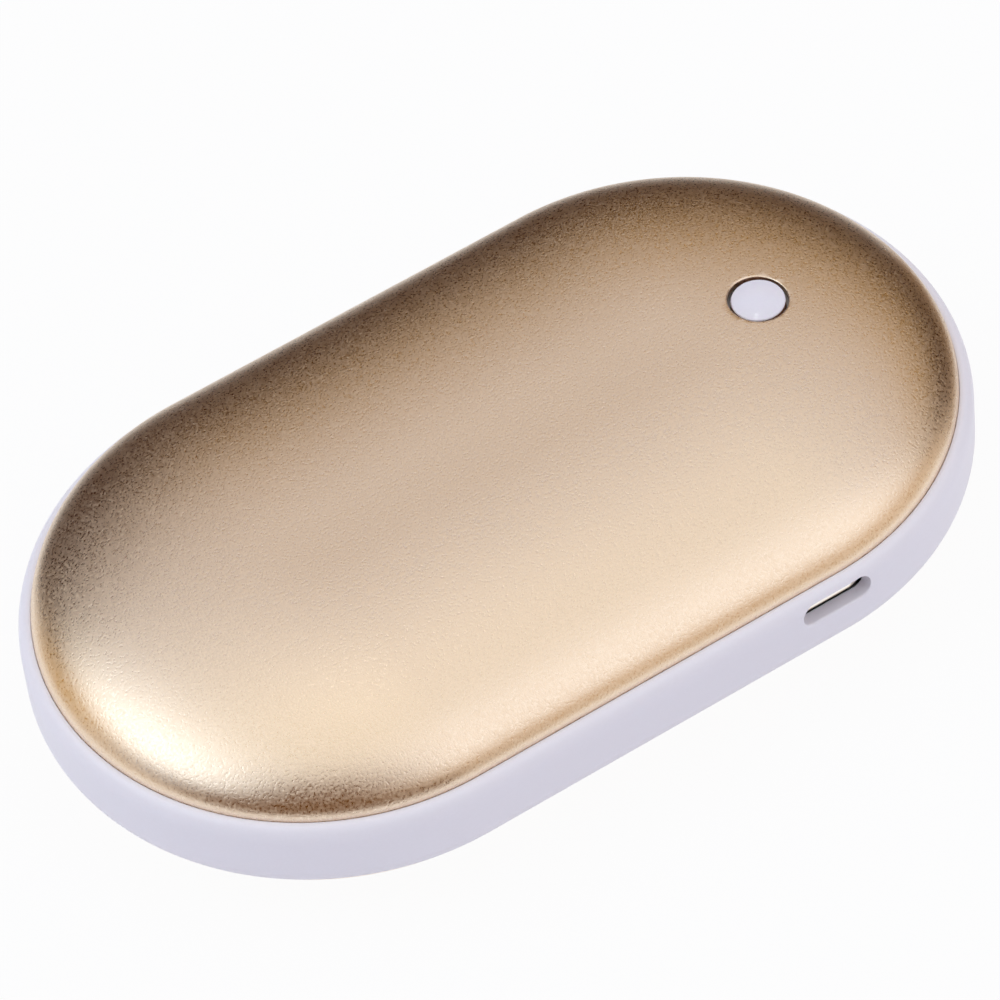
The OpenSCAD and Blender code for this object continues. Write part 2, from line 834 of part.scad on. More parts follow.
// A fuse between two wires that bend down to the board
module thermal_fuse() {
    axis_z = fuse_r + fuse_lift;
    end_x = fuse_l / 2 + fuse_lead_l;
    color("#a9a9ad") on_board(fuse_x, fuse_y) {
        translate([-fuse_l / 2, 0, axis_z]) rotate([0, 90, 0]) cylinder(h = fuse_l, r = fuse_r);
        translate([-end_x, 0, axis_z]) rotate([0, 90, 0]) cylinder(h = 2 * end_x, r = fuse_lead_r);
        for (x = [-end_x, end_x])
            translate([x, 0, 0]) {
                cylinder(h = axis_z, r = fuse_lead_r);
                translate([0, 0, axis_z]) sphere(r = fuse_lead_r, $fn = 32);
            }
    }
}

// Charging socket, drawn from its middle at the mouth, with +Y into the body
module at_socket() {
    at_middle() translate([port_x, usb_front_y, port_z]) children();
}

function socket_outline(grow) = [
    [usb_w / 2 + grow, usb_h / 2 + grow], [-usb_w / 2 - grow, usb_h / 2 + grow],
    [-usb_w / 2 - grow, usb_bevel_h - usb_h / 2], [-usb_w / 2 + usb_bevel_w, -usb_h / 2 - grow],
    [usb_w / 2 - usb_bevel_w, -usb_h / 2 - grow], [usb_w / 2 + grow, usb_bevel_h - usb_h / 2]];

module socket_prism(grow, l) {
    mirror([0, 1, 0]) rotate([90, 0, 0]) linear_extrude(l) polygon(socket_outline(grow));
}

// The flare that leads the plug into the mouth
module socket_flare() {
    hull() {
        translate([0, -over, 0]) socket_prism(usb_lip - usb_wall, over);
        socket_prism(-usb_wall, usb_lip_l);
    }
}

module usb_shell() {
    color("#c3c4c8") at_socket() difference() {
        union() {
            socket_prism(0, usb_l);
            intersection() {
                socket_prism(usb_lip, usb_lip_l);
                translate([0, 0, -usb_h / 2]) block([2 * usb_w, 2 * usb_l, 2 * usb_h]);
            }
        }
        translate([0, -over, 0]) socket_prism(-usb_wall, usb_l + 2 * over);
        socket_flare();
    }
}

tongue_l = usb_l - tongue_front_gap;
contact_z = -tongue_t / 2 - contact_t;
contact_l = tongue_l - tongue_front_gap;

module usb_tongue() {
    back_h = usb_h - 2 * usb_wall;
    back_w = usb_w - 2 * usb_bevel_w - 2 * usb_wall;
    color("#222226") at_socket() difference() {
        union() {
            translate([0, tongue_front_gap + tongue_l / 2, -tongue_t / 2])
                block([tongue_w, tongue_l, tongue_t]);
            translate([0, usb_l - tongue_back_l / 2, -back_h / 2]) block([back_w, tongue_back_l, back_h]);
        }
        contact_strips();
    }
}

// Five strips below the tongue, each with a tail that steps down behind the block
module contact_strips() {
    for (i = [-2:2])
        translate([i * contact_pitch, 0, 0]) {
            translate([0, usb_l - contact_l / 2, contact_z])
                block([contact_w, contact_l, contact_t]);
            translate([0, usb_l + contact_t / 2, -usb_h / 2])
                block([contact_w, contact_t, usb_h / 2 + contact_z + contact_t]);
            translate([0, usb_l + contact_tail_l / 2, -usb_h / 2])
                block([contact_w, contact_tail_l, contact_t]);
        }
}

module usb_contacts() {
    color("#d8b25a") at_socket() contact_strips();
}

// Tactile switch
module at_switch() {
    on_board(button_x, 0) children();
}

switch_base_h = switch_h - switch_exposed_h - switch_cover_t;
switch_floor = switch_base_h - switch_well_depth;

module switch_base() {
    color("#2a2a2d") at_switch() difference() {
        block([switch_w, switch_w, switch_base_h]);
        translate([0, 0, switch_floor]) cylinder(h = switch_base_h, r = switch_well_r);
    }
}

module switch_contacts() {
    color("#c8c8c8") at_switch()
        for (side = [0, 1], y = [-switch_leg_y, switch_leg_y])
            mirror([side, 0, 0]) translate([switch_w / 2, y, 0]) {
                block_from_face([switch_leg_t, switch_leg_w, switch_leg_h]);
                block_from_face([switch_leg_reach, switch_leg_w, switch_leg_t]);
            }
}

// A box that starts at x = 0 and is centred across
module block_from_face(size) {
    translate([0, -size[1] / 2, 0]) cube(size);
}

// A thin sprung dome that stands on its rim
snap_bow = (pow(snap_r, 2) + pow(snap_h - snap_t, 2)) / (2 * (snap_h - snap_t));
snap_angle = asin(snap_r / snap_bow);
function snap_arc(lift) = [
    for (i = [0:corner_steps])
        let (a = snap_angle * i / corner_steps)
            [snap_bow * sin(a), snap_bow * (cos(a) - 1) + snap_h - snap_t + lift]];

module snap_dome() {
    color("#d0cfc8") at_switch() translate([0, 0, switch_floor])
        rotate_extrude()
            polygon(concat(snap_arc(snap_t), reversed(snap_arc(0))));
}

module switch_plunger() {
    flange_z = switch_floor + snap_h;
    color("#141416") at_switch() {
        translate([0, 0, flange_z]) cylinder(h = plunger_flange_t, r = plunger_flange_r);
        translate([0, 0, flange_z]) cylinder(h = switch_h - flange_z, r = plunger_r);
    }
}

module switch_cover() {
    tab_l = switch_base_h * switch_tab_share;
    color("#c3c4c8") at_switch() difference() {
        union() {
            translate([0, 0, switch_base_h]) block([switch_w, switch_w, switch_cover_t]);
            for (side = [0, 1])
                mirror([0, side, 0]) translate([0, (switch_w + switch_cover_t) / 2, switch_base_h - tab_l])
                    block([switch_cover_tab_w, switch_cover_t, tab_l + switch_cover_t]);
        }
        cylinder(h = switch_h, r = switch_cover_hole_r);
    }
}

// A cross-head screw that hangs from the seat of its head
module screw(r, l, head_r, head_h) {
    difference() {
        union() {
            translate([0, 0, -l]) cylinder(h = l + head_h / 2, r = r);
            cylinder(h = head_h, r = head_r);
        }
        for (turn = [0, 90])
            rotate([0, 0, turn]) translate([0, 0, head_h * (1 - cross_shares[2])])
                block([head_r * cross_shares[0], head_r * cross_shares[1], head_h]);
    }
}

module frame_screws() {
    color("#8c8d92") at_middle() at_frame_screws()
        translate([0, 0, screw_seat_z]) screw(screw_r, screw_l, screw_head_r, screw_head_h);
}

module board_screws() {
    color("#8c8d92")
        for (y = [-board_screw_y, board_screw_y])
            on_board(board_screw_x, y)
                screw(board_screw_r, board_screw_l, board_screw_head_r, board_screw_head_h);
}

// A wire that runs along +X from the origin, bends and ends lower down
module bent_wire(reach, drop, r) {
    bend_r = r * wire_bend_share;
    rotate([0, 90, 0]) cylinder(h = reach - bend_r, r = r);
    translate([reach - bend_r, 0, -bend_r])
        rotate([90, 0, 0])
            rotate_extrude(angle = 90)
                translate([bend_r, 0]) circle(r = r);
    translate([reach, 0, -drop]) cylinder(h = drop - bend_r, r = r);
}

// Leads from the protection board to the main board
battery_lead_start_z = 2.4;
battery_lead_margin = 2;
battery_lead_pitch = 1.4;
battery_lead_reach = 0.9;

module battery_lead(y) {
    start_x = guard_x + guard_t;
    at_middle() translate([start_x, y, battery_lead_start_z])
        bent_wire(board_x + battery_lead_reach - start_x, battery_lead_start_z - board_top, lead_r);
}

module battery_lead_red() {
    color("#b3201f") battery_lead(guard_half_l - battery_lead_margin);
}

module battery_lead_black() {
    color("#17171a") battery_lead(guard_half_l - battery_lead_margin - battery_lead_pitch);
}

// Heater leads, drawn in a dome's frame from the track down to one face of the main board
lead_top_z = dome_height(spine_distance(lead_x, lead_y) + lead_r, track_in + track_t) - lead_end_gap;

module heater_leads(face_z) {
    at_leads() translate([0, 0, face_z]) cylinder(h = lead_top_z - face_z, r = lead_r);
}

module top_heater_leads() {
    color("#c8c8cc") top_side() heater_leads(mid_z + board_top);
}

module bottom_heater_leads() {
    color("#c8c8cc") bottom_side() heater_leads(mid_z - board_bottom);
}

// A bead against the end of the upper cell, on two wires from the main board
thermistor_gap = 0.05;
thermistor_margin = 1.6;
thermistor_y = -guard_half_l - thermistor_margin;
thermistor_z = 3;
thermistor_foot_reach = 0.8;

module cell_thermistor() {
    bead_x = cell_end_x + thermistor_r + thermistor_gap;
    reach = board_x + thermistor_foot_reach - bead_x;
    color("#2d2b28") at_middle() translate([bead_x, thermistor_y, thermistor_z]) {
        sphere(r = thermistor_r, $fn = 32);
        for (y = [-1, 1] * thermistor_pitch)
            translate([0, y, 0]) bent_wire(reach, thermistor_z - board_top, thermistor_lead_r);
    }
}

top_shell();
bottom_shell();
mid_frame();
upper_tray();
lower_tray();
top_glue_sheet();
bottom_glue_sheet();
top_heater_film();
bottom_heater_film();
top_heater_track();
bottom_heater_track();
top_foam();
bottom_foam();
top_sealant();
bottom_sealant();
button_cap();
upper_cell();
lower_cell();
cell_tape();
cell_tabs();
protection_board();
protection_chips();
main_board();
charge_chip();
controller_chip();
heater_transistors();
chip_legs();
capacitors();
resistors();
indicator_leds();
thermal_fuse();
cell_thermistor();
usb_shell();
usb_tongue();
usb_contacts();
switch_base();
switch_contacts();
snap_dome();
switch_plunger();
switch_cover();
frame_screws();
board_screws();
battery_lead_red();
battery_lead_black();
top_heater_leads();
bottom_heater_leads();
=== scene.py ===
"""Looks of a rechargeable hand warmer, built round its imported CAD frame.

Two bead-blasted, gold-anodised aluminium domes sit in a moulded white band. A translucent
button shows through the upper dome, and a charging socket sits behind an opening in the band.
"""

import logging
import math
from collections.abc import Iterable
from dataclasses import dataclass
from enum import Enum

import bmesh
import bpy
from bmesh.types import BMEdge, BMesh, BMFace, BMVert
from bpy.types import Material, Mesh, Node, NodeSocket, NodeTree, Object
from mathutils import Matrix, Vector


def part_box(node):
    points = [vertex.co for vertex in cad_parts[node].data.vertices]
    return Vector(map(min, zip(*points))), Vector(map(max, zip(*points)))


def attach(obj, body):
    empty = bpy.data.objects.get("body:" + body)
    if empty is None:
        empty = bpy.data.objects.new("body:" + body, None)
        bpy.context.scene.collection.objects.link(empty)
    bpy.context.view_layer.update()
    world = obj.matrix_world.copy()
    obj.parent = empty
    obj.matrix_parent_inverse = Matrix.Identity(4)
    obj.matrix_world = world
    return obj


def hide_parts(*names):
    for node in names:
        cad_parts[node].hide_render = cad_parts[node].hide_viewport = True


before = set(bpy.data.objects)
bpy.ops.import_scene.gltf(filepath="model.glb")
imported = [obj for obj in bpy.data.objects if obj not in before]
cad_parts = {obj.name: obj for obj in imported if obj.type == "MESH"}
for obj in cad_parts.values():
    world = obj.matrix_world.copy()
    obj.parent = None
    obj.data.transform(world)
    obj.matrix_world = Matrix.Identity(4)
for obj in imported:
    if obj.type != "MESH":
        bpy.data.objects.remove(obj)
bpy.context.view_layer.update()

log = logging.getLogger("hand_warmer")

MM = 0.001
# Vertices nearer than this are one, in millimetres: in a new mesh, and in a CAD node's triangles
WELD = 1e-3
CAD_WELD = 1e-4
# Edges shorter than this go, in millimetres
SHORTEST_EDGE = 1e-5
# How many widths long a drawn line is
DRAWN_LENGTH = 25

Outline = list[tuple[float, float]]
Geometry = list[BMVert | BMEdge]


# Colours and nodes


def linear(hex_colour: str, level: float = 1.0) -> tuple[float, float, float, float]:
    """Turns an sRGB hex colour to linear light.

    Args:
        hex_colour: Six hex digits, with or without a leading '#'.
        level: Brightness that the colour is multiplied by.

    Returns:
        Linear red, green and blue, and an alpha of 1.
    """
    digits = hex_colour.lstrip("#")
    channels = [int(digits[i : i + 2], 16) / 255 for i in (0, 2, 4)]
    flat = [c / 12.92 if c <= 0.04045 else ((c + 0.055) / 1.055) ** 2.4 for c in channels]
    return (level * flat[0], level * flat[1], level * flat[2], 1.0)


def add_node(
    tree: NodeTree,
    kind: str,
    settings: dict[str, object] | None = None,
    inputs: dict[str | int, object] | None = None,
) -> Node:
    """Adds one node, sets it and links what feeds it.

    Args:
        tree: The node tree that gets the node.
        kind: Blender's name of the node type.
        settings: The node's own properties.
        inputs: Values for its sockets. An output socket is linked, anything else is set.

    Returns:
        The new node.
    """
    node = tree.nodes.new(kind)
    for name, value in (settings or {}).items():
        setattr(node, name, value)
    for key, value in (inputs or {}).items():
        by_name = (s for s in node.inputs if s.enabled and s.name == key)
        socket = node.inputs[key] if isinstance(key, int) else next(by_name)
        if isinstance(value, NodeSocket):
            tree.links.new(value, socket)
        else:
            socket.default_value = value
    return node


# Finishes


class Pattern(Enum):
    """The kind of texture that a process leaves on a surface."""

    GRAIN = "grain"
    CELLS = "cells"
    DRAWN = "drawn"
    WOVEN = "woven"


@dataclass(frozen=True)
class Finish:
    """A surface: what it is made of, and the texture that its making left.

    Attributes:
        name: Common name of the material and its process.
        light: Colour of its raised or clean places, as sRGB hex.
        dark: Colour of its hollows, as sRGB hex.
        metallic: 1 for bare metal, 0 for everything else.
        roughness: Mean roughness.
        spread: How far the texture moves the roughness.
        pattern: Kind of texture.
        size: Size of one grain, cell or thread, in millimetres.
        relief: Height of the texture, in millimetres.
        sockets: Further shader sockets with one value all over.
    """

    name: str
    light: str
    dark: str
    metallic: float = 0.0
    roughness: float = 0.5
    spread: float = 0.06
    pattern: Pattern = Pattern.GRAIN
    size: float = 0.4
    relief: float = 0.004
    sockets: tuple[tuple[str, object], ...] = ()

    def texture(self, tree: NodeTree, place: NodeSocket) -> NodeSocket:
        """Adds this finish's texture.

        Args:
            tree: The material's nodes.
            place: Place on the object, in metres.

        Returns:
            The socket that gives the texture's height, from 0 to 1.
        """
        stretch = (1 / DRAWN_LENGTH, 1.0, 1.0) if self.pattern is Pattern.DRAWN else (1.0, 1.0, 1.0)
        scale = tuple(s / (self.size * MM) for s in stretch)
        mapped = add_node(tree, "ShaderNodeMapping", inputs={"Vector": place, "Scale": scale})
        where = mapped.outputs["Vector"]
        if self.pattern is Pattern.CELLS:
            cells = add_node(tree, "ShaderNodeTexVoronoi", inputs={"Vector": where, "Scale": 1.0})
            return cells.outputs["Distance"]
        if self.pattern is Pattern.WOVEN:
            threads = [
                add_node(
                    tree,
                    "ShaderNodeTexWave",
                    {"wave_type": "BANDS", "bands_direction": axis},
                    {"Vector": where, "Scale": 0.5, "Distortion": 0.3},
                ).outputs["Fac"]
                for axis in ("X", "Y")
            ]
            return add_node(
                tree, "ShaderNodeMath", {"operation": "MULTIPLY"}, {0: threads[0], 1: threads[1]}
            ).outputs[0]
        noise = add_node(
            tree, "ShaderNodeTexNoise", inputs={"Vector": where, "Scale": 1.0, "Detail": 3.0}
        )
        return noise.outputs["Fac"]

    def surface(self, tree: NodeTree, place: NodeSocket) -> dict[str, NodeSocket]:
        """Adds the nodes of its colour, roughness and relief.

        Args:
            tree: The material's nodes.
            place: Place on the object, in metres.

        Returns:
            What feeds the shader, by the name of the shader's socket.
        """
        height = self.texture(tree, place)
        colour = add_node(
            tree,
            "ShaderNodeMix",
            {"data_type": "RGBA"},
            {"Factor": height, "A": linear(self.dark), "B": linear(self.light)},
        ).outputs[2]
        rougher, smoother = self.roughness + self.spread, self.roughness - self.spread
        rough = add_node(
            tree,
            "ShaderNodeMapRange",
            inputs={"Value": height, "To Min": rougher, "To Max": smoother},
        ).outputs["Result"]
        bump = add_node(
            tree, "ShaderNodeBump", inputs={"Distance": self.relief * MM, "Height": height}
        ).outputs["Normal"]
        return {"Base Color": colour, "Roughness": rough, "Normal": bump}

    def material(self) -> Material:
        """Makes this finish's material once, and gives the same one afterwards.

        Returns:
            The material.
        """
        made = bpy.data.materials.get(self.name)
        if made:
            return made
        made = bpy.data.materials.new(self.name)
        made.use_nodes = True
        made.diffuse_color = linear(self.light)
        tree = made.node_tree
        shader = tree.nodes["Principled BSDF"]
        for name, value in (("Metallic", self.metallic), *self.sockets):
            shader.inputs[name].default_value = value
        place = add_node(tree, "ShaderNodeTexCoord").outputs["Object"]
        for name, socket in self.surface(tree, place).items():
            tree.links.new(socket, shader.inputs[name])
        return made


@dataclass(frozen=True)
class BlastedAnodising(Finish):
    """Aluminium that was blasted with fine beads, then anodised gold.

    Attributes:
        grit: Size of one bead mark, in millimetres. Real marks are about 0.08 mm, which is less
            than a pixel, so they are drawn three times as coarse to show as the fine sparkle.
        span: The texture's height in the deepest and in the highest marks.
        painted_glint: How much brighter or darker the colour of single marks is: a painted glint,
        standing in for the sparkle of their reflections.
        pitting: How much rougher or smoother single marks are, which shows most in dark reflections.
        cloud: Size of the soft unevenness of the blasting, in millimetres.
    """

    grit: float = 0.25
    span: tuple[float, float] = (0.3, 0.7)
    painted_glint: float = 0.085
    pitting: float = 0.15
    cloud: float = 7.0

    def surface(self, tree: NodeTree, place: NodeSocket) -> dict[str, NodeSocket]:
        """Adds the nodes of the bead marks, their painted glints and the uneven blasting.

        Args:
            tree: The material's nodes.
            place: Place on the object, in metres.

        Returns:
            What feeds the shader, by the name of the shader's socket.
        """
        by_grit, by_cloud = (
            add_node(
                tree, "ShaderNodeMapping", inputs={"Vector": place, "Scale": (1 / (size * MM),) * 3}
            ).outputs["Vector"]
            for size in (self.grit, self.cloud)
        )
        marks = add_node(
            tree,
            "ShaderNodeTexNoise",
            inputs={"Vector": by_grit, "Scale": 1.0, "Detail": 2.0, "Roughness": 0.7},
        ).outputs["Fac"]
        clouds = add_node(
            tree, "ShaderNodeTexNoise", inputs={"Vector": by_cloud, "Scale": 1.0, "Detail": 2.0}
        ).outputs["Fac"]
        low, high = self.span
        painted_glint, pits, rough = (
            add_node(
                tree,
                "ShaderNodeMapRange",
                inputs={
                    "Value": height,
                    "From Min": start,
                    "From Max": end,
                    "To Min": mean - reach,
                    "To Max": mean + reach,
                },
            ).outputs["Result"]
            for height, start, end, mean, reach in (
                (marks, low, high, 1.0, self.painted_glint),
                (marks, low, high, 0.0, self.pitting),
                (clouds, 0.0, 1.0, self.roughness, self.spread),
            )
        )
        tone = add_node(
            tree,
            "ShaderNodeMix",
            {"data_type": "RGBA"},
            {"Factor": clouds, "A": linear(self.dark), "B": linear(self.light)},
        ).outputs[2]
        # Painted glint: each mark's colour is made brighter or darker, standing in for the sparkle of its
        # reflection
        colour = add_node(
            tree, "ShaderNodeVectorMath", {"operation": "SCALE"}, {"Vector": tone, "Scale": painted_glint}
        ).outputs["Vector"]
        pitted = add_node(tree, "ShaderNodeMath", {"operation": "ADD"}, {0: rough, 1: pits}).outputs[0]
        bump = add_node(
            tree, "ShaderNodeBump", inputs={"Distance": self.relief * MM, "Height": marks}
        ).outputs["Normal"]
        return {"Base Color": colour, "Roughness": pitted, "Normal": bump}


# Anodised aluminium, bead-blasted: a soft metal glow with a fine sparkle, from its bumps and from a painted
# glint in its colour, and no sharp highlight
GOLD = BlastedAnodising(
    "anodised_aluminium_bead_blasted_gold",
    "#fae7d1",
    "#f7e4ce",
    metallic=1.0,
    roughness=0.36,
    spread=0.015,
    relief=0.036,
)
# Moulded white ABS: an even satin skin with a cool tint
WHITE_ABS = Finish(
    "abs_moulded_cool_white",
    "#f4f1fa",
    "#efecf5",
    roughness=0.42,
    spread=0.03,
    size=0.25,
    relief=0.0015,
    sockets=(("Subsurface Weight", 0.12), ("Subsurface Radius", (0.0012, 0.0010, 0.0010))),
)
# Moulded translucent polycarbonate: light runs into it, so it looks soft and milky
BUTTON_PC = Finish(
    "polycarbonate_moulded_milky",
    "#eae7f1",
    "#e4e1ec",
    roughness=0.14,
    spread=0.02,
    size=0.3,
    relief=0.001,
    sockets=(("Subsurface Weight", 0.3), ("Subsurface Radius", (0.0005, 0.0004, 0.0005))),
)
# Painted shade on the cap's skirt and side: a dark brown that stands in for the shade in the deep gap round
# the cap, and makes the ring dark
SKIRT_PAINTED_SHADE = Finish("painted_shade_skirt_brown", "#8c5c3a", "#77492c", roughness=0.6, size=0.3, relief=0.001)
# Moulded grey-white PC/ABS of the inner trays: dull, slightly uneven
TRAY_PLASTIC = Finish("pc_abs_moulded_tray", "#dedee0", "#d3d3d6", roughness=0.55, size=0.6)
# Laid acrylic glue sheet: waxy and faintly yellow
GLUE = Finish("acrylic_glue_sheet", "#ebe5ca", "#ddd5b4", roughness=0.35, size=1.5, relief=0.01)
# Cast polyimide film: clear amber with a shine
POLYIMIDE = Finish("polyimide_film_cast", "#cf8440", "#b5651d", roughness=0.22, size=2.0)
# Etched foil of the heater: dull grey metal with an etched edge
HEATER_METAL = Finish("etched_nickel_chrome_foil", "#a5a5a8", "#8d8d90", 1.0, 0.4, size=0.3)
# Blown rubber foam: open dark cells
FOAM = Finish(
    "rubber_foam_blown", "#4a4a4c", "#262628", roughness=0.9, pattern=Pattern.CELLS, size=0.7, relief=0.15
)
# Cured silicone sealant: soft, off-white, lumpy
SEALANT = Finish("silicone_sealant_cured", "#f0f0ed", "#e4e4df", roughness=0.3, size=2.5, relief=0.05)
# Laminated pouch foil: silvery, softly dented
POUCH_FOIL = Finish("aluminium_pouch_foil", "#cfd2d6", "#bcbfc4", 1.0, 0.32, size=3.0, relief=0.06)
# Polyester tape on the cells: translucent yellow
TAPE = Finish("polyester_tape", "#dfbd5c", "#cba236", roughness=0.3, size=1.2)
# Rolled nickel strip: drawn lines along it
NICKEL = Finish("nickel_strip_rolled", "#c6c5c0", "#a9a8a2", 1.0, 0.3, pattern=Pattern.DRAWN, size=0.08)
# Glass-fibre laminate under green solder mask: the weave shows through
LAMINATE = Finish(
    "glass_laminate_green_mask", "#2a7d47", "#1c6236", roughness=0.35, pattern=Pattern.WOVEN, size=0.5
)
# Moulded epoxy of the chips: matt black with a fine grain
CHIP_EPOXY = Finish("epoxy_moulded_black", "#303034", "#222226", roughness=0.6, size=0.15)
# Tinned copper legs: bright, slightly frosted
TIN = Finish("tinned_copper", "#d2d2d2", "#b5b5b5", 1.0, 0.28, size=0.2)
# Fired ceramic of the capacitors: tan and dense
CERAMIC = Finish("ceramic_fired_tan", "#bfa37c", "#ab8e66", roughness=0.5, size=0.2)
# Thick film under black glass: dark and glossy
RESISTOR = Finish("glazed_thick_film_black", "#3a3a3f", "#28282c", roughness=0.25, size=0.2)
# Cast resin of the indicator lights: yellowish, dyed with phosphor
LED_RESIN = Finish("epoxy_cast_phosphor", "#efe9b8", "#e0d898", roughness=0.2, size=0.2)
# Drawn and plated case of the fuse: silvery, with fine lines along it
FUSE_METAL = Finish("brass_plated_drawn", "#b4b4b8", "#98989c", 1.0, 0.3, pattern=Pattern.DRAWN, size=0.1)
# Dipped epoxy bead of the thermistor: a glossy brown-black drop
BEAD_EPOXY = Finish("epoxy_dipped_black", "#3a3632", "#26231f", roughness=0.25, size=0.4)
# Stamped and nickel-plated steel of the socket: fine drawn lines, bright edges
SOCKET_STEEL = Finish(
    "steel_stamped_nickel_plated", "#f6f3ec", "#ebe8e0", 1.0, 0.25, pattern=Pattern.DRAWN, size=0.06
)
# Moulded black nylon of the socket's tongue: deep, dull black
SOCKET_NYLON = Finish("nylon_moulded_black", "#2b2b2f", "#1e1e21", roughness=0.5, size=0.15)
# Gold-plated contacts: a warm, clear shine
CONTACT_GOLD = Finish("phosphor_bronze_gold_plated", "#e3bd66", "#cfa54c", 1.0, 0.22, size=0.15)
# Moulded black nylon of the switch: dull black
SWITCH_NYLON = Finish("nylon_moulded_switch_black", "#303033", "#242427", roughness=0.5, size=0.2)
# Stamped spring steel of the snap dome: bright, with faint rolling lines
SPRING_STEEL = Finish(
    "spring_steel_stamped", "#d8d7cf", "#bebdb5", 1.0, 0.2, pattern=Pattern.DRAWN, size=0.08
)
# Zinc-plated steel of the screws: dull grey
SCREW_STEEL = Finish("steel_screw_zinc_plated", "#9a9ba0", "#808186", 1.0, 0.35, size=0.15)
# Extruded silicone insulation, in three colours: a soft, even skin
RED_SILICONE = Finish("silicone_insulation_red", "#c02a26", "#a81d1b", roughness=0.4)
BLACK_SILICONE = Finish("silicone_insulation_black", "#232326", "#151517", roughness=0.4)
WHITE_SILICONE = Finish("silicone_insulation_white", "#dedee2", "#cbcbd0", roughness=0.4)

# Finish of each CAD node that keeps its own solid
NODE_FINISHES: dict[Finish, tuple[str, ...]] = {
    TRAY_PLASTIC: ("upper_tray", "lower_tray"),
    GLUE: ("top_glue_sheet", "bottom_glue_sheet"),
    POLYIMIDE: ("top_heater_film", "bottom_heater_film"),
    HEATER_METAL: ("top_heater_track", "bottom_heater_track"),
    FOAM: ("top_foam", "bottom_foam"),
    SEALANT: ("top_sealant", "bottom_sealant"),
    POUCH_FOIL: ("upper_cell", "lower_cell"),
    TAPE: ("cell_tape",),
    NICKEL: ("cell_tabs",),
    LAMINATE: ("main_board", "protection_board"),
    CHIP_EPOXY: ("charge_chip", "controller_chip", "heater_transistors", "protection_chips"),
    TIN: ("chip_legs", "switch_contacts"),
    CERAMIC: ("capacitors",),
    RESISTOR: ("resistors",),
    LED_RESIN: ("indicator_leds",),
    FUSE_METAL: ("thermal_fuse",),
    BEAD_EPOXY: ("cell_thermistor",),
    CONTACT_GOLD: ("usb_contacts",),
    SWITCH_NYLON: ("switch_base", "switch_plunger"),
    SPRING_STEEL: ("snap_dome",),
    SOCKET_STEEL: ("switch_cover",),
    SCREW_STEEL: ("frame_screws", "board_screws"),
    RED_SILICONE: ("battery_lead_red",),
    BLACK_SILICONE: ("battery_lead_black",),
    WHITE_SILICONE: ("top_heater_leads", "bottom_heater_leads"),
}


# Mesh helpers


def lathe_outline(bm: BMesh, outline: Outline, x: float, closed: bool) -> Geometry:
    """Lays an outline in the plane that faces -Y, as vertices joined by edges.

    Args:
        bm: The mesh under work.
        outline: Points as (distance outwards, height).
        x: Place of the plane along X.
        closed: Whether the last point joins the first.

    Returns:
        The new vertices and edges.
    """
    verts = [bm.verts.new((x, -u, z)) for u, z in outline]
    pairs = list(zip(verts, verts[1:]))
    if closed:
        pairs.append((verts[-1], verts[0]))
    return verts + [bm.edges.new(pair) for pair in pairs]


def sweep_stadium(outline: Outline, spine_half: float, steps: int, closed: bool) -> BMesh:
    """Sweeps an outline round a stadium: two half turns joined by two straight runs.

    Args:
        outline: Points as (distance from the spine, height).
        spine_half: Half the length of the spine.
        steps: Steps in each half turn.
        closed: Whether the outline is a loop. An open one starts and ends on the spine.

    Returns:
        The closed mesh, with its normals outwards.
    """
    bm = bmesh.new()
    geometry = lathe_outline(bm, outline, spine_half, closed)
    for side in (1, -1):
        turned = bmesh.ops.spin(
            bm,
            geom=geometry,
            cent=(side * spine_half, 0, 0),
            axis=(0, 0, 1),
            dvec=(0, 0, 0),
            angle=math.pi,
            steps=steps,
        )
        edges = [g for g in turned["geom_last"] if isinstance(g, BMEdge)]
        run = bmesh.ops.extrude_edge_only(bm, edges=edges)["geom"]
        moved = [g for g in run if isinstance(g, BMVert)]
        bmesh.ops.translate(bm, verts=moved, vec=(-2 * side * spine_half, 0, 0))
        geometry = moved + [g for g in run if isinstance(g, BMEdge)]
    return closed_up(bm)


def spin_solid(outline: Outline, steps: int) -> BMesh:
    """Turns an outline that starts and ends on the Z axis into a solid of revolution.

    Args:
        outline: Points as (radius, height).
        steps: Steps in the full turn.

    Returns:
        The closed mesh, with its normals outwards.
    """
    bm = bmesh.new()
    bmesh.ops.spin(
        bm,
        geom=lathe_outline(bm, outline, 0.0, False),
        cent=(0, 0, 0),
        axis=(0, 0, 1),
        dvec=(0, 0, 0),
        angle=2 * math.pi,
        steps=steps,
        use_merge=True,
    )
    return closed_up(bm)


def closed_up(bm: BMesh) -> BMesh:
    """Welds a mesh's doubles and turns its normals outwards.

    Args:
        bm: The mesh, in millimetres.

    Returns:
        The same mesh.
    """
    bmesh.ops.remove_doubles(bm, verts=bm.verts, dist=WELD)
    bmesh.ops.dissolve_degenerate(bm, dist=SHORTEST_EDGE, edges=bm.edges)
    bmesh.ops.recalc_face_normals(bm, faces=bm.faces)
    return bm


def smooth_by_angle(mesh: Mesh, degrees: float = 32.0) -> None:
    """Shades a mesh smooth, with a crease wherever two faces meet more sharply.

    Args:
        mesh: The mesh.
        degrees: The least angle of a crease.
    """
    bm = bmesh.new()
    bm.from_mesh(mesh)
    for face in bm.faces:
        face.smooth = True
    for edge in bm.edges:
        edge.smooth = len(edge.link_faces) == 2 and edge.calc_face_angle(math.pi) < math.radians(degrees)
    bm.to_mesh(mesh)
    bm.free()


def linked(bm: BMesh, name: str) -> Object:
    """Makes an object at the origin from a mesh in metres, and links it to the scene.

    Args:
        bm: The mesh, which is freed.
        name: Name of the object and its mesh.

    Returns:
        The object.
    """
    mesh = bpy.data.meshes.new(name)
    bm.to_mesh(mesh)
    bm.free()
    made = bpy.data.objects.new(name, mesh)
    bpy.context.scene.collection.objects.link(made)
    return made


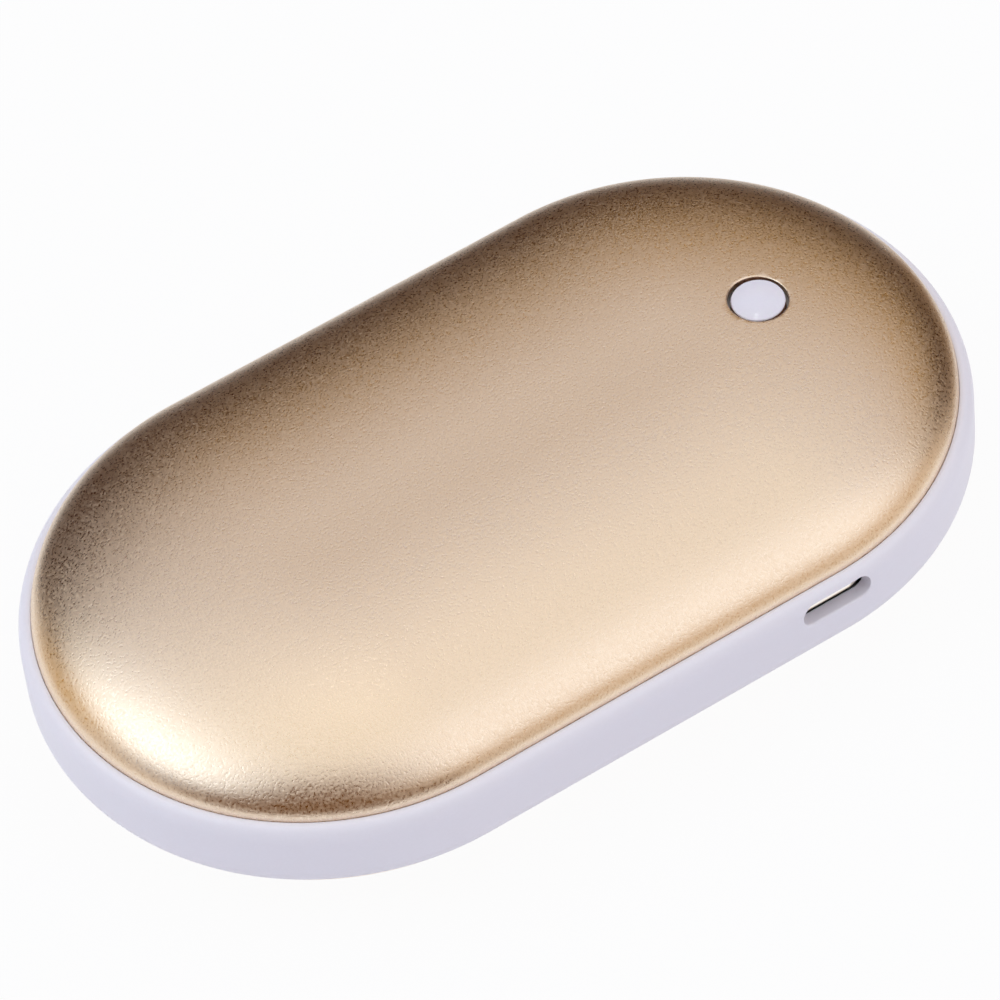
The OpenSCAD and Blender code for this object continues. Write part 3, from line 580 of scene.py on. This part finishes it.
def as_object(bm: BMesh, name: str, lift: float = 0.0) -> Object:
    """Makes an object at the origin from a mesh in millimetres.

    Args:
        bm: The mesh, which is freed.
        name: Name of the piece.
        lift: Height to add, in millimetres.

    Returns:
        The object, in metres.
    """
    bmesh.ops.translate(bm, verts=bm.verts, vec=(0, 0, lift))
    bmesh.ops.scale(bm, verts=bm.verts, vec=(MM, MM, MM))
    return linked(bm, name)


def cut(target: Object, cutter: Object) -> None:
    """Cuts one object out of another, and removes the cutter.

    Args:
        target: The object that keeps its place and name.
        cutter: The object that is taken away from it.
    """
    boolean = target.modifiers.new("cut", "BOOLEAN")
    boolean.operation, boolean.solver, boolean.object = "DIFFERENCE", "EXACT", cutter
    graph = bpy.context.evaluated_depsgraph_get()
    fresh = bpy.data.meshes.new_from_object(target.evaluated_get(graph))
    target.modifiers.remove(boolean)
    stale, target.data = target.data, fresh
    name = stale.name
    bpy.data.meshes.remove(stale)
    fresh.name = name
    mesh = cutter.data
    bpy.data.objects.remove(cutter)
    bpy.data.meshes.remove(mesh)


def arc(
    centre: tuple[float, float], radii: tuple[float, float], start: float, end: float, steps: int
) -> Outline:
    """Gives points along a quarter or other part of an ellipse.

    Args:
        centre: Its middle, as (distance outwards, height).
        radii: Its two half axes.
        start: Angle of the first point, in degrees from the outward direction.
        end: Angle of the last point.
        steps: Steps between them.

    Returns:
        The points, with both ends.
    """
    angles = [math.radians(start + (end - start) * i / steps) for i in range(steps + 1)]
    return [(centre[0] + radii[0] * math.cos(a), centre[1] + radii[1] * math.sin(a)) for a in angles]


def middle_of(node: str) -> tuple[float, ...]:
    """Gives the middle of a CAD node's box in the frame, in millimetres."""
    return tuple((low + high) / 2 / MM for low, high in zip(*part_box(node)))


def finish_piece(piece: Object, body: str, finish: Finish, nodes: Iterable[str]) -> Object:
    """Shades, dresses and places a finished piece in the frame.

    Args:
        piece: The piece.
        body: The CAD body that it rides on.
        finish: Its surface.
        nodes: The CAD nodes that it stands for.

    Returns:
        The piece.
    """
    smooth_by_angle(piece.data)
    # Large faces keep their own normals beside small ones
    even = piece.modifiers.new("even_shading", "WEIGHTED_NORMAL")
    even.keep_sharp = True
    piece.data.materials.clear()
    piece.data.materials.append(finish.material())
    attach(piece, body)
    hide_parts(*nodes)
    log.info("%s: %d faces, for %s", piece.name, len(piece.data.polygons), ", ".join(nodes))
    return piece


# The housing


@dataclass
class Housing:
    """The two gold shells and the white band, with sizes in millimetres as in the CAD.

    A cross-section is drawn as (u, z): u is the distance from the spine, and z the height.
    """

    length: float = 102.0
    width: float = 60.0
    height: float = 23.5
    band_h: float = 8.3
    band_lip: float = 1.45
    band_round_w: float = 1.2
    band_round_h: float = 2.1
    band_core_wall: float = 2.6
    lip_round: float = 0.06
    web_t: float = 1.6
    web_r: float = 24.35
    shell_wall: float = 0.8
    shell_gap: float = 0.03
    rest_half_w: float = 3.0
    dome_power: float = 2.2
    skirt_depth: float = 2.0
    hole_r: float = 3.1
    hole_round_w: float = 0.28
    hole_round_h: float = 0.14
    port_l: float = 8.0
    port_h: float = 2.8
    port_round: float = 1.25
    port_wall: float = 1.55
    port_rim_low: float = 0.3
    port_rim_high: float = 0.04
    overcut: float = 0.3
    # How far a cutter reaches past what it cuts, and a ring in the band past its opening
    clear: float = 1.0
    # How far the inlet's rim starts in front of the band's face, for a clean cut
    rim_front: float = 0.003
    # The socket's room behind the band's wall: half its length, its floor and its roof, from the
    # middle of the inlet along the body and from the middle of the body's height
    pocket_half_l: float = 4.65
    pocket_low: float = -1.05
    pocket_high: float = 3.65
    # The button's hole is cut where the dome slopes: its rim lies this far below the dome there, and
    # the slope is taken over this distance to either side
    rim_sag: float = 0.03
    slope_reach: float = 0.5
    dome_steps: int = 48
    inner_dome_steps: int = 16
    turn_steps: int = 96
    band_round_steps: int = 14
    lip_steps: int = 3
    hole_rim_steps: int = 6
    port_corner_steps: int = 10
    port_rim_steps: int = 8

    @property
    def spine_half(self) -> float:
        """Half the length of the line that the round ends share."""
        return (self.length - self.width) / 2

    @property
    def shell_r(self) -> float:
        """Radius of the shells' skirts."""
        return self.width / 2 - self.band_lip

    @property
    def dome_h(self) -> float:
        """Height of one dome above the band."""
        return (self.height - self.band_h) / 2

    @property
    def button_x(self) -> float:
        """Place of the button along the body, from the frame."""
        return middle_of("button_cap")[0]

    @property
    def port_x(self) -> float:
        """Place of the inlet along the body, from the frame."""
        return middle_of("usb_shell")[0]

    @property
    def port_z(self) -> float:
        """Height of the inlet's middle above the floor, from the frame."""
        return middle_of("usb_tongue")[2]

    def dome_height(self, u: float) -> float:
        """Height of a dome's outer face above the band, at a distance from the spine."""
        share = max(0.0, u - self.rest_half_w) / (self.shell_r - self.rest_half_w)
        return self.dome_h * math.sqrt(1 - share**self.dome_power)

    def dome_curve(self, inset: float, steps: int) -> Outline:
        """Draws a dome's curve from its crown down to the band's edge.

        Args:
            inset: Distance inside the shell's outer face.
            steps: Steps in the curve.

        Returns:
            The points, the first one on the spine.
        """
        reach = self.shell_r - inset - self.rest_half_w
        points = [(0.0, self.dome_h - inset)]
        for i in range(steps + 1):
            angle = math.pi / 2 * i / steps
            u = self.rest_half_w + reach * math.sin(angle) ** (2 / self.dome_power)
            points.append((u, (self.dome_h - inset) * math.cos(angle)))
        return points

    def shell(self, name: str, side: int) -> Object:
        """Builds one metal shell.

        Args:
            name: Name of the piece.
            side: 1 for the upper shell and -1 for the lower one.

        Returns:
            The shell.
        """
        outer = self.dome_curve(0.0, self.dome_steps)
        inner = self.dome_curve(self.shell_wall, self.inner_dome_steps)
        skirt = [(self.shell_r, -self.skirt_depth), (self.shell_r - self.shell_wall, -self.skirt_depth)]
        outline = [(u, side * z) for u, z in outer + skirt + inner[::-1]]
        bm = sweep_stadium(outline, self.spine_half, self.turn_steps, False)
        return as_object(bm, name, (self.height + side * self.band_h) / 2)

    def band(self) -> Object:
        """Builds the white band, with its rounded edges, ledges and flange.

        Returns:
            The band, without its inlet.
        """
        outer, top = self.width / 2, self.band_h / 2
        ledge = top - self.skirt_depth
        centre = (outer - self.band_round_w, top - self.band_round_h)
        lip = self.shell_r + self.shell_gap
        corner = (lip + self.lip_round, top - self.lip_round)
        upper = arc(centre, (self.band_round_w, self.band_round_h), 0, 90, self.band_round_steps)
        upper += arc(corner, (self.lip_round,) * 2, 90, 180, self.lip_steps)
        core = outer - self.band_core_wall
        upper += [(lip, ledge), (core, ledge), (core, self.web_t / 2), (self.web_r, self.web_t / 2)]
        outline = upper + [(u, -z) for u, z in reversed(upper)]
        bm = sweep_stadium(outline, self.spine_half, self.turn_steps, True)
        for side in (1, -1):
            # Rings beside the inlet keep its cut from bending the shading of the long straight faces
            beside = (self.port_x + side * (self.port_l / 2 + self.clear), 0, 0)
            everything = [*bm.verts, *bm.edges, *bm.faces]
            bmesh.ops.bisect_plane(bm, geom=everything, plane_co=beside, plane_no=(1, 0, 0))
        return as_object(bm, "white_band", self.height / 2)

    def hole_cutters(self) -> list[Object]:
        """Makes the cutters of the button's hole.

        Returns:
            A straight bore, and a rounded rim that follows the dome.
        """
        wide, deep = self.hole_round_w, self.hole_round_h
        reach = self.hole_r + wide
        straight = [(0, 0), (self.hole_r, 0), (self.hole_r, self.height), (0, self.height)]
        bore = spin_solid(straight, self.turn_steps)
        quarter = arc((reach, -deep), (wide, deep), 180, 90, self.hole_rim_steps)
        rim = spin_solid([(0, -deep), *quarter, (reach, self.clear), (0, self.clear)], self.turn_steps)
        u, step = self.button_x - self.spine_half, self.slope_reach
        slope = (self.dome_height(u + step) - self.dome_height(u - step)) / (2 * step)
        tilt = Matrix.Rotation(-math.atan(slope), 4, "Y")
        rim_z = self.dome_height(u) - self.rim_sag + (self.height + self.band_h) / 2
        bmesh.ops.transform(rim, matrix=tilt, verts=rim.verts)
        bmesh.ops.translate(rim, verts=rim.verts, vec=(self.button_x, 0, rim_z))
        bmesh.ops.translate(bore, verts=bore.verts, vec=(self.button_x, 0, self.height / 2))
        return [as_object(bore, "bore"), as_object(rim, "rim")]

    def pocket_cutter(self) -> Object:
        """Makes the cutter of the room that the socket takes behind the band's wall.

        Returns:
            The cutter.
        """
        bm = bmesh.new()
        bmesh.ops.create_cube(bm, size=1.0)
        depth = self.width / 2 - self.port_wall - self.web_r + self.clear
        size = (2 * self.pocket_half_l, depth, self.pocket_high - self.pocket_low)
        bmesh.ops.scale(bm, verts=bm.verts, vec=size)
        middle = (self.pocket_high + self.pocket_low + self.height) / 2
        front = -self.width / 2 + self.port_wall + depth / 2
        bmesh.ops.translate(bm, verts=bm.verts, vec=(self.port_x, front, middle))
        return as_object(bm, "pocket")

    def port_cutter(self) -> Object:
        """Makes the cutter of the opening: a rounded slot that flares at its mouth, most along its floor.

        Returns:
            The cutter.
        """
        bm = bmesh.new()
        bmesh.ops.create_grid(bm, x_segments=1, y_segments=1, size=0.5)
        bmesh.ops.scale(bm, verts=bm.verts, vec=(self.port_l, self.port_h, 1))
        bmesh.ops.bevel(
            bm,
            geom=bm.verts[:],
            affect="VERTICES",
            offset=self.port_round,
            segments=self.port_corner_steps,
            profile=0.5,
            material=-1,
        )
        bmesh.ops.rotate(bm, verts=bm.verts, cent=(0, 0, 0), matrix=Matrix.Rotation(math.pi / 2, 3, "X"))
        bmesh.ops.translate(bm, verts=bm.verts, vec=(0, self.port_wall + self.overcut, 0))
        low, high, steps = self.port_rim_low, self.port_rim_high, self.port_rim_steps
        turns = [math.pi / 2 * i / steps for i in range(steps + 1)]
        depths = [low * (1 - math.sin(turn)) - self.rim_front for turn in turns]
        half_l, half_h = self.port_l / 2 - self.port_round, self.port_h / 2 - self.port_round
        base = face = bm.faces[:][0]
        for depth in [*depths, -self.clear]:
            made = bmesh.ops.extrude_face_region(bm, geom=[face])["geom"]
            if face is not base:
                bmesh.ops.delete(bm, geom=[face], context="FACES_ONLY")
            face = next(g for g in made if isinstance(g, BMFace))
            for vert in (g for g in made if isinstance(g, BMVert)):
                x, z = vert.co.x, vert.co.z
                centre = Vector((max(-half_l, min(half_l, x)), 0, max(-half_h, min(half_h, z))))
                way = (Vector((x, 0, z)) - centre).normalized()
                rim = high + (low - high) * (1 - way.z) / 2
                grown = rim - math.sqrt(rim**2 - max(0.0, min(rim, rim - depth)) ** 2)
                vert.co = centre + way * (self.port_round + grown) + Vector((0, depth, 0))
        bmesh.ops.translate(bm, verts=bm.verts, vec=(self.port_x, -self.width / 2, self.port_z))
        return as_object(closed_up(bm), "slot")

    def build(self) -> None:
        """Builds the shells and the band, and puts them in the frame."""
        top = self.shell("gold_top_shell", 1)
        for cutter in self.hole_cutters():
            cut(top, cutter)
        cut(top, self.pocket_cutter())
        finish_piece(top, "housing", GOLD, ["top_shell"])
        bottom = self.shell("gold_bottom_shell", -1)
        finish_piece(bottom, "housing", GOLD, ["bottom_shell"])
        band = self.band()
        cut(band, self.pocket_cutter())
        cut(band, self.port_cutter())
        finish_piece(band, "housing", WHITE_ABS, ["mid_frame"])


# The button and the socket


@dataclass
class Button:
    """The button cap, with sizes in millimetres as in the CAD."""

    cap_r: float = 2.75
    crown: float = 0.45
    rim_round: float = 0.18
    flange_r: float = 3.65
    flange_t: float = 0.8
    stem_r: float = 1.3
    stem_l: float = 0.9
    crown_steps: int = 10
    edge_steps: int = 5
    turn_steps: int = 96

    def build(self) -> Object:
        """Builds the cap where the CAD's is, and puts it in the frame.

        Returns:
            The cap.
        """
        low, high = (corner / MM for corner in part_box("button_cap"))
        flange_z = low.z + self.stem_l
        sphere_r = (self.cap_r**2 + self.crown**2) / (2 * self.crown)
        edge_r = self.cap_r - self.rim_round
        lean = math.asin(edge_r / sphere_r)
        leans = [lean * i / self.crown_steps for i in range(self.crown_steps + 1)]
        crown = [(sphere_r * math.sin(a), high.z - sphere_r * (1 - math.cos(a))) for a in leans]
        corner = (edge_r, crown[-1][1] - self.rim_round)
        edge = arc(corner, (self.rim_round,) * 2, 90 - math.degrees(lean), 0, self.edge_steps)
        outline = [
            *crown,
            *edge,
            (self.cap_r, flange_z + self.flange_t),
            (self.flange_r, flange_z + self.flange_t),
            (self.flange_r, flange_z),
            (self.stem_r, flange_z),
            (self.stem_r, low.z),
            (0.0, low.z),
        ]
        bm = spin_solid(outline, self.turn_steps)
        x, y, _ = middle_of("button_cap")
        bmesh.ops.translate(bm, verts=bm.verts, vec=(x, y, 0))
        piece = finish_piece(
            as_object(bm, "button_cap_milky"), "button", BUTTON_PC, ["button_cap"]
        )
        # A second material paints the shade of the gap round the cap
        piece.data.materials.append(SKIRT_PAINTED_SHADE.material())
        # The painted shade covers the skirt and the side, up to the rounded edge
        for face in piece.data.polygons:
            if face.center.z < corner[1] * MM:
                face.material_index = 1
        return piece


@dataclass
class Socket:
    """The charging socket's pieces that show in the opening: the CAD's solids with worn edges."""

    edge_round: float = 0.05
    edge_steps: int = 2
    # Triangles that lie this flat, in degrees, are one face, and sharper edges than the second are worn
    flat_angle: float = 1.0
    worn_angle: float = 30.0

    def soften(self, node: str, name: str, finish: Finish) -> Object:
        """Copies a CAD node and rounds its edges.

        Args:
            node: The CAD node.
            name: Name of the piece.
            finish: Its surface.

        Returns:
            The piece that stands for the node.
        """
        bm = bmesh.new()
        bm.from_mesh(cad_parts[node].data)
        bmesh.ops.remove_doubles(bm, verts=bm.verts, dist=CAD_WELD * MM)
        flat = math.radians(self.flat_angle)
        bmesh.ops.dissolve_limit(bm, angle_limit=flat, verts=bm.verts, edges=bm.edges)
        piece = linked(bm, name)
        bevel = piece.modifiers.new("worn_edges", "BEVEL")
        bevel.width, bevel.segments = self.edge_round * MM, self.edge_steps
        bevel.limit_method, bevel.angle_limit = "ANGLE", math.radians(self.worn_angle)
        return finish_piece(piece, "housing", finish, [node])

    def build(self) -> None:
        """Builds the socket's shell and tongue."""
        self.soften("usb_shell", "socket_shell", SOCKET_STEEL)
        self.soften("usb_tongue", "socket_tongue", SOCKET_NYLON)


def dress_inside() -> None:
    """Gives every CAD node that keeps its own solid its finish."""
    for finish, names in NODE_FINISHES.items():
        for name in names:
            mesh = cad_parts[name].data
            mesh.materials.clear()
            mesh.materials.append(finish.material())


# The studio


def studio_paint(name: str) -> Material:
    """Makes an empty material for the studio, which is no lamp to the rays that look for light.

    Args:
        name: Name of the material.

    Returns:
        The material, without nodes.
    """
    paint = bpy.data.materials.new(name)
    paint.use_nodes = True
    paint.node_tree.nodes.clear()
    paint.cycles.emission_sampling = "NONE"
    return paint


@dataclass(frozen=True)
class WallPatch:
    """A soft-edged part of the studio's far wall: a window, a curtain or a stretch of paint.

    Angles are in degrees. Azimuth goes from +X towards +Y.

    Attributes:
        name: What it stands for.
        azimuth: Azimuth of its middle.
        half_width: Azimuth from its middle to its edge.
        low: Elevation of its lower edge.
        high: Elevation of its upper edge.
        level: Its brightness, where a white wall is 1.
        colour: Its colour, as sRGB hex.
        soft_side: Half the width of the fade at its sides.
        soft_top: Half the height of the fade at its upper and lower edge.
        in_shine: Whether only reflections show it, so that it takes no light from matt surfaces.
    """

    name: str
    azimuth: float
    half_width: float
    low: float
    high: float
    level: float
    colour: str
    soft_side: float = 12.0
    soft_top: float = 7.0
    in_shine: bool = False

    def fade(self, tree: NodeTree, value: NodeSocket, start: float, end: float) -> NodeSocket:
        """Adds a smooth step of a value.

        Args:
            tree: The world's nodes.
            value: The value.
            start: Where the step starts.
            end: Where it ends.

        Returns:
            The socket that is 0 before the start and 1 past the end.
        """
        step = {"Value": value, "From Min": start, "From Max": end}
        node = add_node(tree, "ShaderNodeMapRange", {"interpolation_type": "SMOOTHSTEP"}, step)
        return node.outputs["Result"]

    def mask(self, tree: NodeTree, way: NodeSocket, height: NodeSocket, shine: NodeSocket) -> NodeSocket:
        """Adds the patch's mask.

        Args:
            tree: The world's nodes.
            way: The level direction of the ray, with a length of 1.
            height: Sine of the ray's elevation.
            shine: 1 for a ray that a shiny surface sends out, and 0 for any other.

        Returns:
            The socket that is 1 inside the patch and 0 outside it.
        """
        turn = math.radians(self.azimuth)
        middle = (math.cos(turn), math.sin(turn), 0)
        facing = add_node(
            tree, "ShaderNodeVectorMath", {"operation": "DOT_PRODUCT"}, {0: way, 1: middle}
        ).outputs["Value"]
        outer, inner = (math.cos(math.radians(self.half_width + side * self.soft_side)) for side in (1, -1))
        steps = [self.fade(tree, facing, outer, inner)]
        for edge, side in ((self.low, 1), (self.high, -1)):
            reaches = (-side * self.soft_top, side * self.soft_top)
            start, end = (math.sin(math.radians(edge + reach)) for reach in reaches)
            steps.append(self.fade(tree, height, start, end))
        if self.in_shine:
            steps.append(shine)
        product = steps[0]
        for step in steps[1:]:
            product = add_node(
                tree, "ShaderNodeMath", {"operation": "MULTIPLY"}, {0: product, 1: step}
            ).outputs[0]
        return product


@dataclass(frozen=True)
class Lamp:
    """A square lamp that points at the object's middle.

    Attributes:
        name: Name of the lamp.
        azimuth: Its place round the object, in degrees from +X towards +Y.
        elevation: Its place above the horizon, in degrees.
        distance: Distance from the object's middle, in metres.
        size: Its width and height, in metres.
        level: Its brightness, where a white wall is 1.
        colour: Its colour, as sRGB hex.
    """

    name: str
    azimuth: float
    elevation: float
    distance: float
    size: float
    level: float
    colour: str

    def build(self, target: Vector) -> Object:
        """Adds the lamp.

        Args:
            target: The point that it faces.

        Returns:
            The lamp.
        """
        a, e = math.radians(self.azimuth), math.radians(self.elevation)
        way = Vector((math.cos(a) * math.cos(e), math.sin(a) * math.cos(e), math.sin(e)))
        lamp = bpy.data.lights.new(self.name, "AREA")
        lamp.shape, lamp.size = "SQUARE", self.size
        # A lamp of area A shows a brightness of its power over pi times A
        lamp.energy = self.level * math.pi * self.size**2
        lamp.color = linear(self.colour)[:3]
        made = bpy.data.objects.new(self.name, lamp)
        made.location = target + way * self.distance
        made.rotation_euler = way.to_track_quat("Z", "Y").to_euler()
        bpy.context.scene.collection.objects.link(made)
        return made


@dataclass(frozen=True)
class LowCard:
    """A low curved card on the floor beside the object, which only its reflections show.

    Attributes:
        name: Name of the card.
        start: Azimuth of one end, in degrees from +X towards +Y.
        end: Azimuth of the other end.
        radius: Its distance from the object's middle, in metres.
        height: Its height, in metres.
        colour: Its colour, as sRGB hex.
        stretch: How much longer it is along X, as the object is long that way.
        steps: Steps along it.
    """

    name: str
    start: float
    end: float
    radius: float
    height: float
    colour: str
    stretch: float = 1.3
    steps: int = 48

    def build(self) -> Object:
        """Adds the card as part of the studio.

        Returns:
            The card.
        """
        bm = bmesh.new()
        a = math.radians(self.start)
        foot = Vector((math.cos(a), math.sin(a), 0)) * self.radius
        verts = [bm.verts.new(foot), bm.verts.new(foot + Vector((0, 0, self.height)))]
        edge = bm.edges.new(verts)
        bmesh.ops.spin(
            bm,
            geom=[*verts, edge],
            cent=(0, 0, 0),
            axis=(0, 0, 1),
            dvec=(0, 0, 0),
            angle=math.radians(self.end - self.start),
            steps=self.steps,
        )
        bmesh.ops.scale(bm, verts=bm.verts, vec=(self.stretch, 1, 1))
        card = linked(bm, self.name)
        paint = studio_paint(self.name + "_paint")
        tree = paint.node_tree
        glow = add_node(tree, "ShaderNodeEmission", inputs={"Color": linear(self.colour)})
        add_node(tree, "ShaderNodeOutputMaterial", inputs={"Surface": glow.outputs[0]})
        card.data.materials.append(paint)
        card.visible_camera = False
        card.visible_diffuse = False
        card.visible_shadow = False
        return card


# Colours that a curtain shares with the card below it, or one card with another
DARK_CLOTH = "#3c1f06"
BROWN_CLOTH = "#6b440a"
TAN_PAPER = "#cdb99f"


@dataclass
class Studio:
    """A white floor in a soft-lit room with two windows and dark curtains."""

    floor_half: float = 3.0
    # Millimetres between the floor and the part, so that their faces don't lie in one plane
    floor_gap: float = 0.02
    paper: str = "#e1e0e7"
    backdrop: str = "#ffffff"
    # Share of the paper's own shading in what the camera sees, which keeps the shadow
    shadow_share: float = 0.06
    # Height of the object's middle, in metres, where the lamp points
    middle: float = 0.012
    # Elevation in degrees, brightness and colour of the plain room
    room: tuple[tuple[float, float, str], ...] = (
        (0, 0.80, "#f6f6fc"),
        (30, 0.79, "#f6f6fc"),
        (50, 0.78, "#ebebfa"),
        (90, 0.95, "#fff9ea"),
    )
    patches: tuple[WallPatch, ...] = (
        WallPatch("grey_wall_front_left", -145, 50, -60, 58, 0.5, "#f3f1f8"),
        WallPatch("tan_skirting", -66, 84, -60, 32, 0.68, "#ffe2c2", soft_top=14.0, in_shine=True),
        WallPatch("warm_wall_behind", 73, 84, -60, 41.5, 1.0, "#c89f4b", in_shine=True),
        WallPatch("dark_curtain_behind", 54, 70, -60, 28, 1.0, DARK_CLOTH, soft_top=5.0, in_shine=True),
        WallPatch("dark_curtain_left_back", 98, 22, -60, 39, 1.0, "#381c04", in_shine=True),
        WallPatch("dark_curtain_front_left", -129, 35, -60, 61, 1.0, BROWN_CLOTH, in_shine=True),
        WallPatch("window_front", -58, 35, 24, 74, 1.2, "#fdfdff"),
        WallPatch("window_left", 162, 36, 29, 62, 2.1, "#ebf5ff"),
    )
    lamp: Lamp = Lamp("overhead_lamp", 62, 76, 0.7, 0.03, 17.0, "#ffffff")
    cards: tuple[LowCard, ...] = (
        LowCard("dark_card_behind", -20, 126, 0.084, 0.03, DARK_CLOTH),
        LowCard("brown_card_right", -28, 20, 0.062, 0.012, "#9c8060"),
        LowCard("dark_card_front_left", 196, 266, 0.088, 0.03, BROWN_CLOTH),
        LowCard("tan_card_left", 130, 196, 0.088, 0.018, TAN_PAPER),
        LowCard("tan_card_front", 266, 335, 0.088, 0.018, TAN_PAPER),
    )

    def build_room(self) -> None:
        """Lights the world with the room, its windows and its curtains."""
        world = bpy.data.worlds.new("soft_room")
        world.use_nodes = True
        # Rays find the room by themselves, so that the cards and curtains hide it from the metal
        world.cycles.sampling_method = "NONE"
        bpy.context.scene.world = world
        tree = world.node_tree
        tree.nodes.clear()
        ray = add_node(tree, "ShaderNodeTexCoord").outputs["Generated"]
        height = add_node(tree, "ShaderNodeSeparateXYZ", inputs={"Vector": ray}).outputs["Z"]
        level = add_node(
            tree, "ShaderNodeVectorMath", {"operation": "MULTIPLY"}, {0: ray, 1: (1, 1, 0)}
        ).outputs["Vector"]
        way = add_node(
            tree, "ShaderNodeVectorMath", {"operation": "NORMALIZE"}, {0: level}
        ).outputs["Vector"]
        ramp = add_node(tree, "ShaderNodeValToRGB", inputs={"Fac": height})
        stops = ramp.color_ramp.elements
        while len(stops) < len(self.room):
            stops.new(1.0)
        for stop, (place, bright, colour) in zip(stops, self.room):
            stop.position = math.sin(math.radians(place))
            stop.color = linear(colour, bright)
        light = ramp.outputs["Color"]
        shine = add_node(tree, "ShaderNodeLightPath").outputs["Is Glossy Ray"]
        for patch in self.patches:
            colour = linear(patch.colour, patch.level)
            mask = patch.mask(tree, way, height, shine)
            light = add_node(
                tree, "ShaderNodeMix", {"data_type": "RGBA"}, {"Factor": mask, "A": light, "B": colour}
            ).outputs[2]
        glow = add_node(tree, "ShaderNodeBackground", inputs={"Color": light})
        add_node(tree, "ShaderNodeOutputWorld", inputs={"Surface": glow.outputs[0]})

    def build_floor(self) -> None:
        """Adds the floor, which looks white, keeps a soft shadow, and can be looked through from below."""
        bm = bmesh.new()
        bmesh.ops.create_grid(bm, x_segments=1, y_segments=1, size=self.floor_half)
        bmesh.ops.translate(bm, verts=bm.verts, vec=(0, 0, -self.floor_gap * MM))
        floor = linked(bm, "floor")
        paint = studio_paint("matt_white_paper")
        tree = paint.node_tree
        matt = add_node(tree, "ShaderNodeBsdfDiffuse", inputs={"Color": linear(self.paper)})
        white = add_node(tree, "ShaderNodeEmission", inputs={"Color": linear(self.backdrop)})
        ray = add_node(tree, "ShaderNodeLightPath")
        seen = ray.outputs["Is Camera Ray"]
        for kind in ("Is Glossy Ray", "Is Transmission Ray"):
            seen = add_node(
                tree, "ShaderNodeMath", {"operation": "MAXIMUM"}, {0: seen, 1: ray.outputs[kind]}
            ).outputs[0]
        share = add_node(
            tree, "ShaderNodeMath", {"operation": "MULTIPLY"}, {0: seen, 1: 1 - self.shadow_share}
        ).outputs[0]
        mixed = add_node(
            tree, "ShaderNodeMixShader", inputs={"Fac": share, 1: matt.outputs[0], 2: white.outputs[0]}
        )
        below = add_node(tree, "ShaderNodeNewGeometry").outputs["Backfacing"]
        clear = add_node(tree, "ShaderNodeBsdfTransparent")
        one_sided = add_node(
            tree, "ShaderNodeMixShader", inputs={"Fac": below, 1: mixed.outputs[0], 2: clear.outputs[0]}
        )
        add_node(tree, "ShaderNodeOutputMaterial", inputs={"Surface": one_sided.outputs[0]})
        floor.data.materials.append(paint)

    def build(self) -> None:
        """Builds room, floor, lamp and cards."""
        self.build_room()
        self.build_floor()
        self.lamp.build(Vector((0, 0, self.middle)))
        for card in self.cards:
            card.build()


@dataclass
class PhotoCamera:
    """The camera of the photograph: its angles in degrees, and lengths in millimetres."""

    azimuth: float = -28.182
    elevation: float = 49.915
    roll: float = -6.606
    distance: float = 679.513
    aside: float = -0.129
    above: float = 1.827
    target_z: float = 11.75
    lens: float = 245.65
    sensor: float = 36.0
    # Nearest and farthest distance that it sees, in metres
    clip: tuple[float, float] = (0.05, 20.0)

    def build(self) -> None:
        """Adds the camera and makes it the scene's."""
        a, e, r = map(math.radians, (self.azimuth, self.elevation, self.roll))
        back = Vector((math.sin(a) * math.cos(e), -math.cos(a) * math.cos(e), math.sin(e)))
        right = Vector((math.cos(a), math.sin(a), 0))
        up = back.cross(right)
        turned_right = right * math.cos(r) + up * math.sin(r)
        turned_up = up * math.cos(r) - right * math.sin(r)
        eye = back * self.distance + turned_right * self.aside + turned_up * self.above
        data = bpy.data.cameras.new("photo_camera")
        data.lens, data.sensor_width, data.sensor_fit = self.lens, self.sensor, "HORIZONTAL"
        data.clip_start, data.clip_end = self.clip
        camera = bpy.data.objects.new("photo_camera", data)
        axes = Matrix((turned_right, turned_up, back)).transposed().to_4x4()
        place = (eye + Vector((0, 0, self.target_z))) * MM
        camera.matrix_world = Matrix.Translation(place) @ axes
        bpy.context.scene.collection.objects.link(camera)
        bpy.context.scene.camera = camera


def main() -> None:
    """Builds the camera, the studio and every piece in order."""
    logging.basicConfig(level=logging.INFO, format="%(message)s")
    bpy.context.scene.view_settings.view_transform = "Standard"
    PhotoCamera().build()
    Studio().build()
    Housing().build()
    Button().build()
    Socket().build()
    dress_inside()


if __name__ == "__main__":
    main()
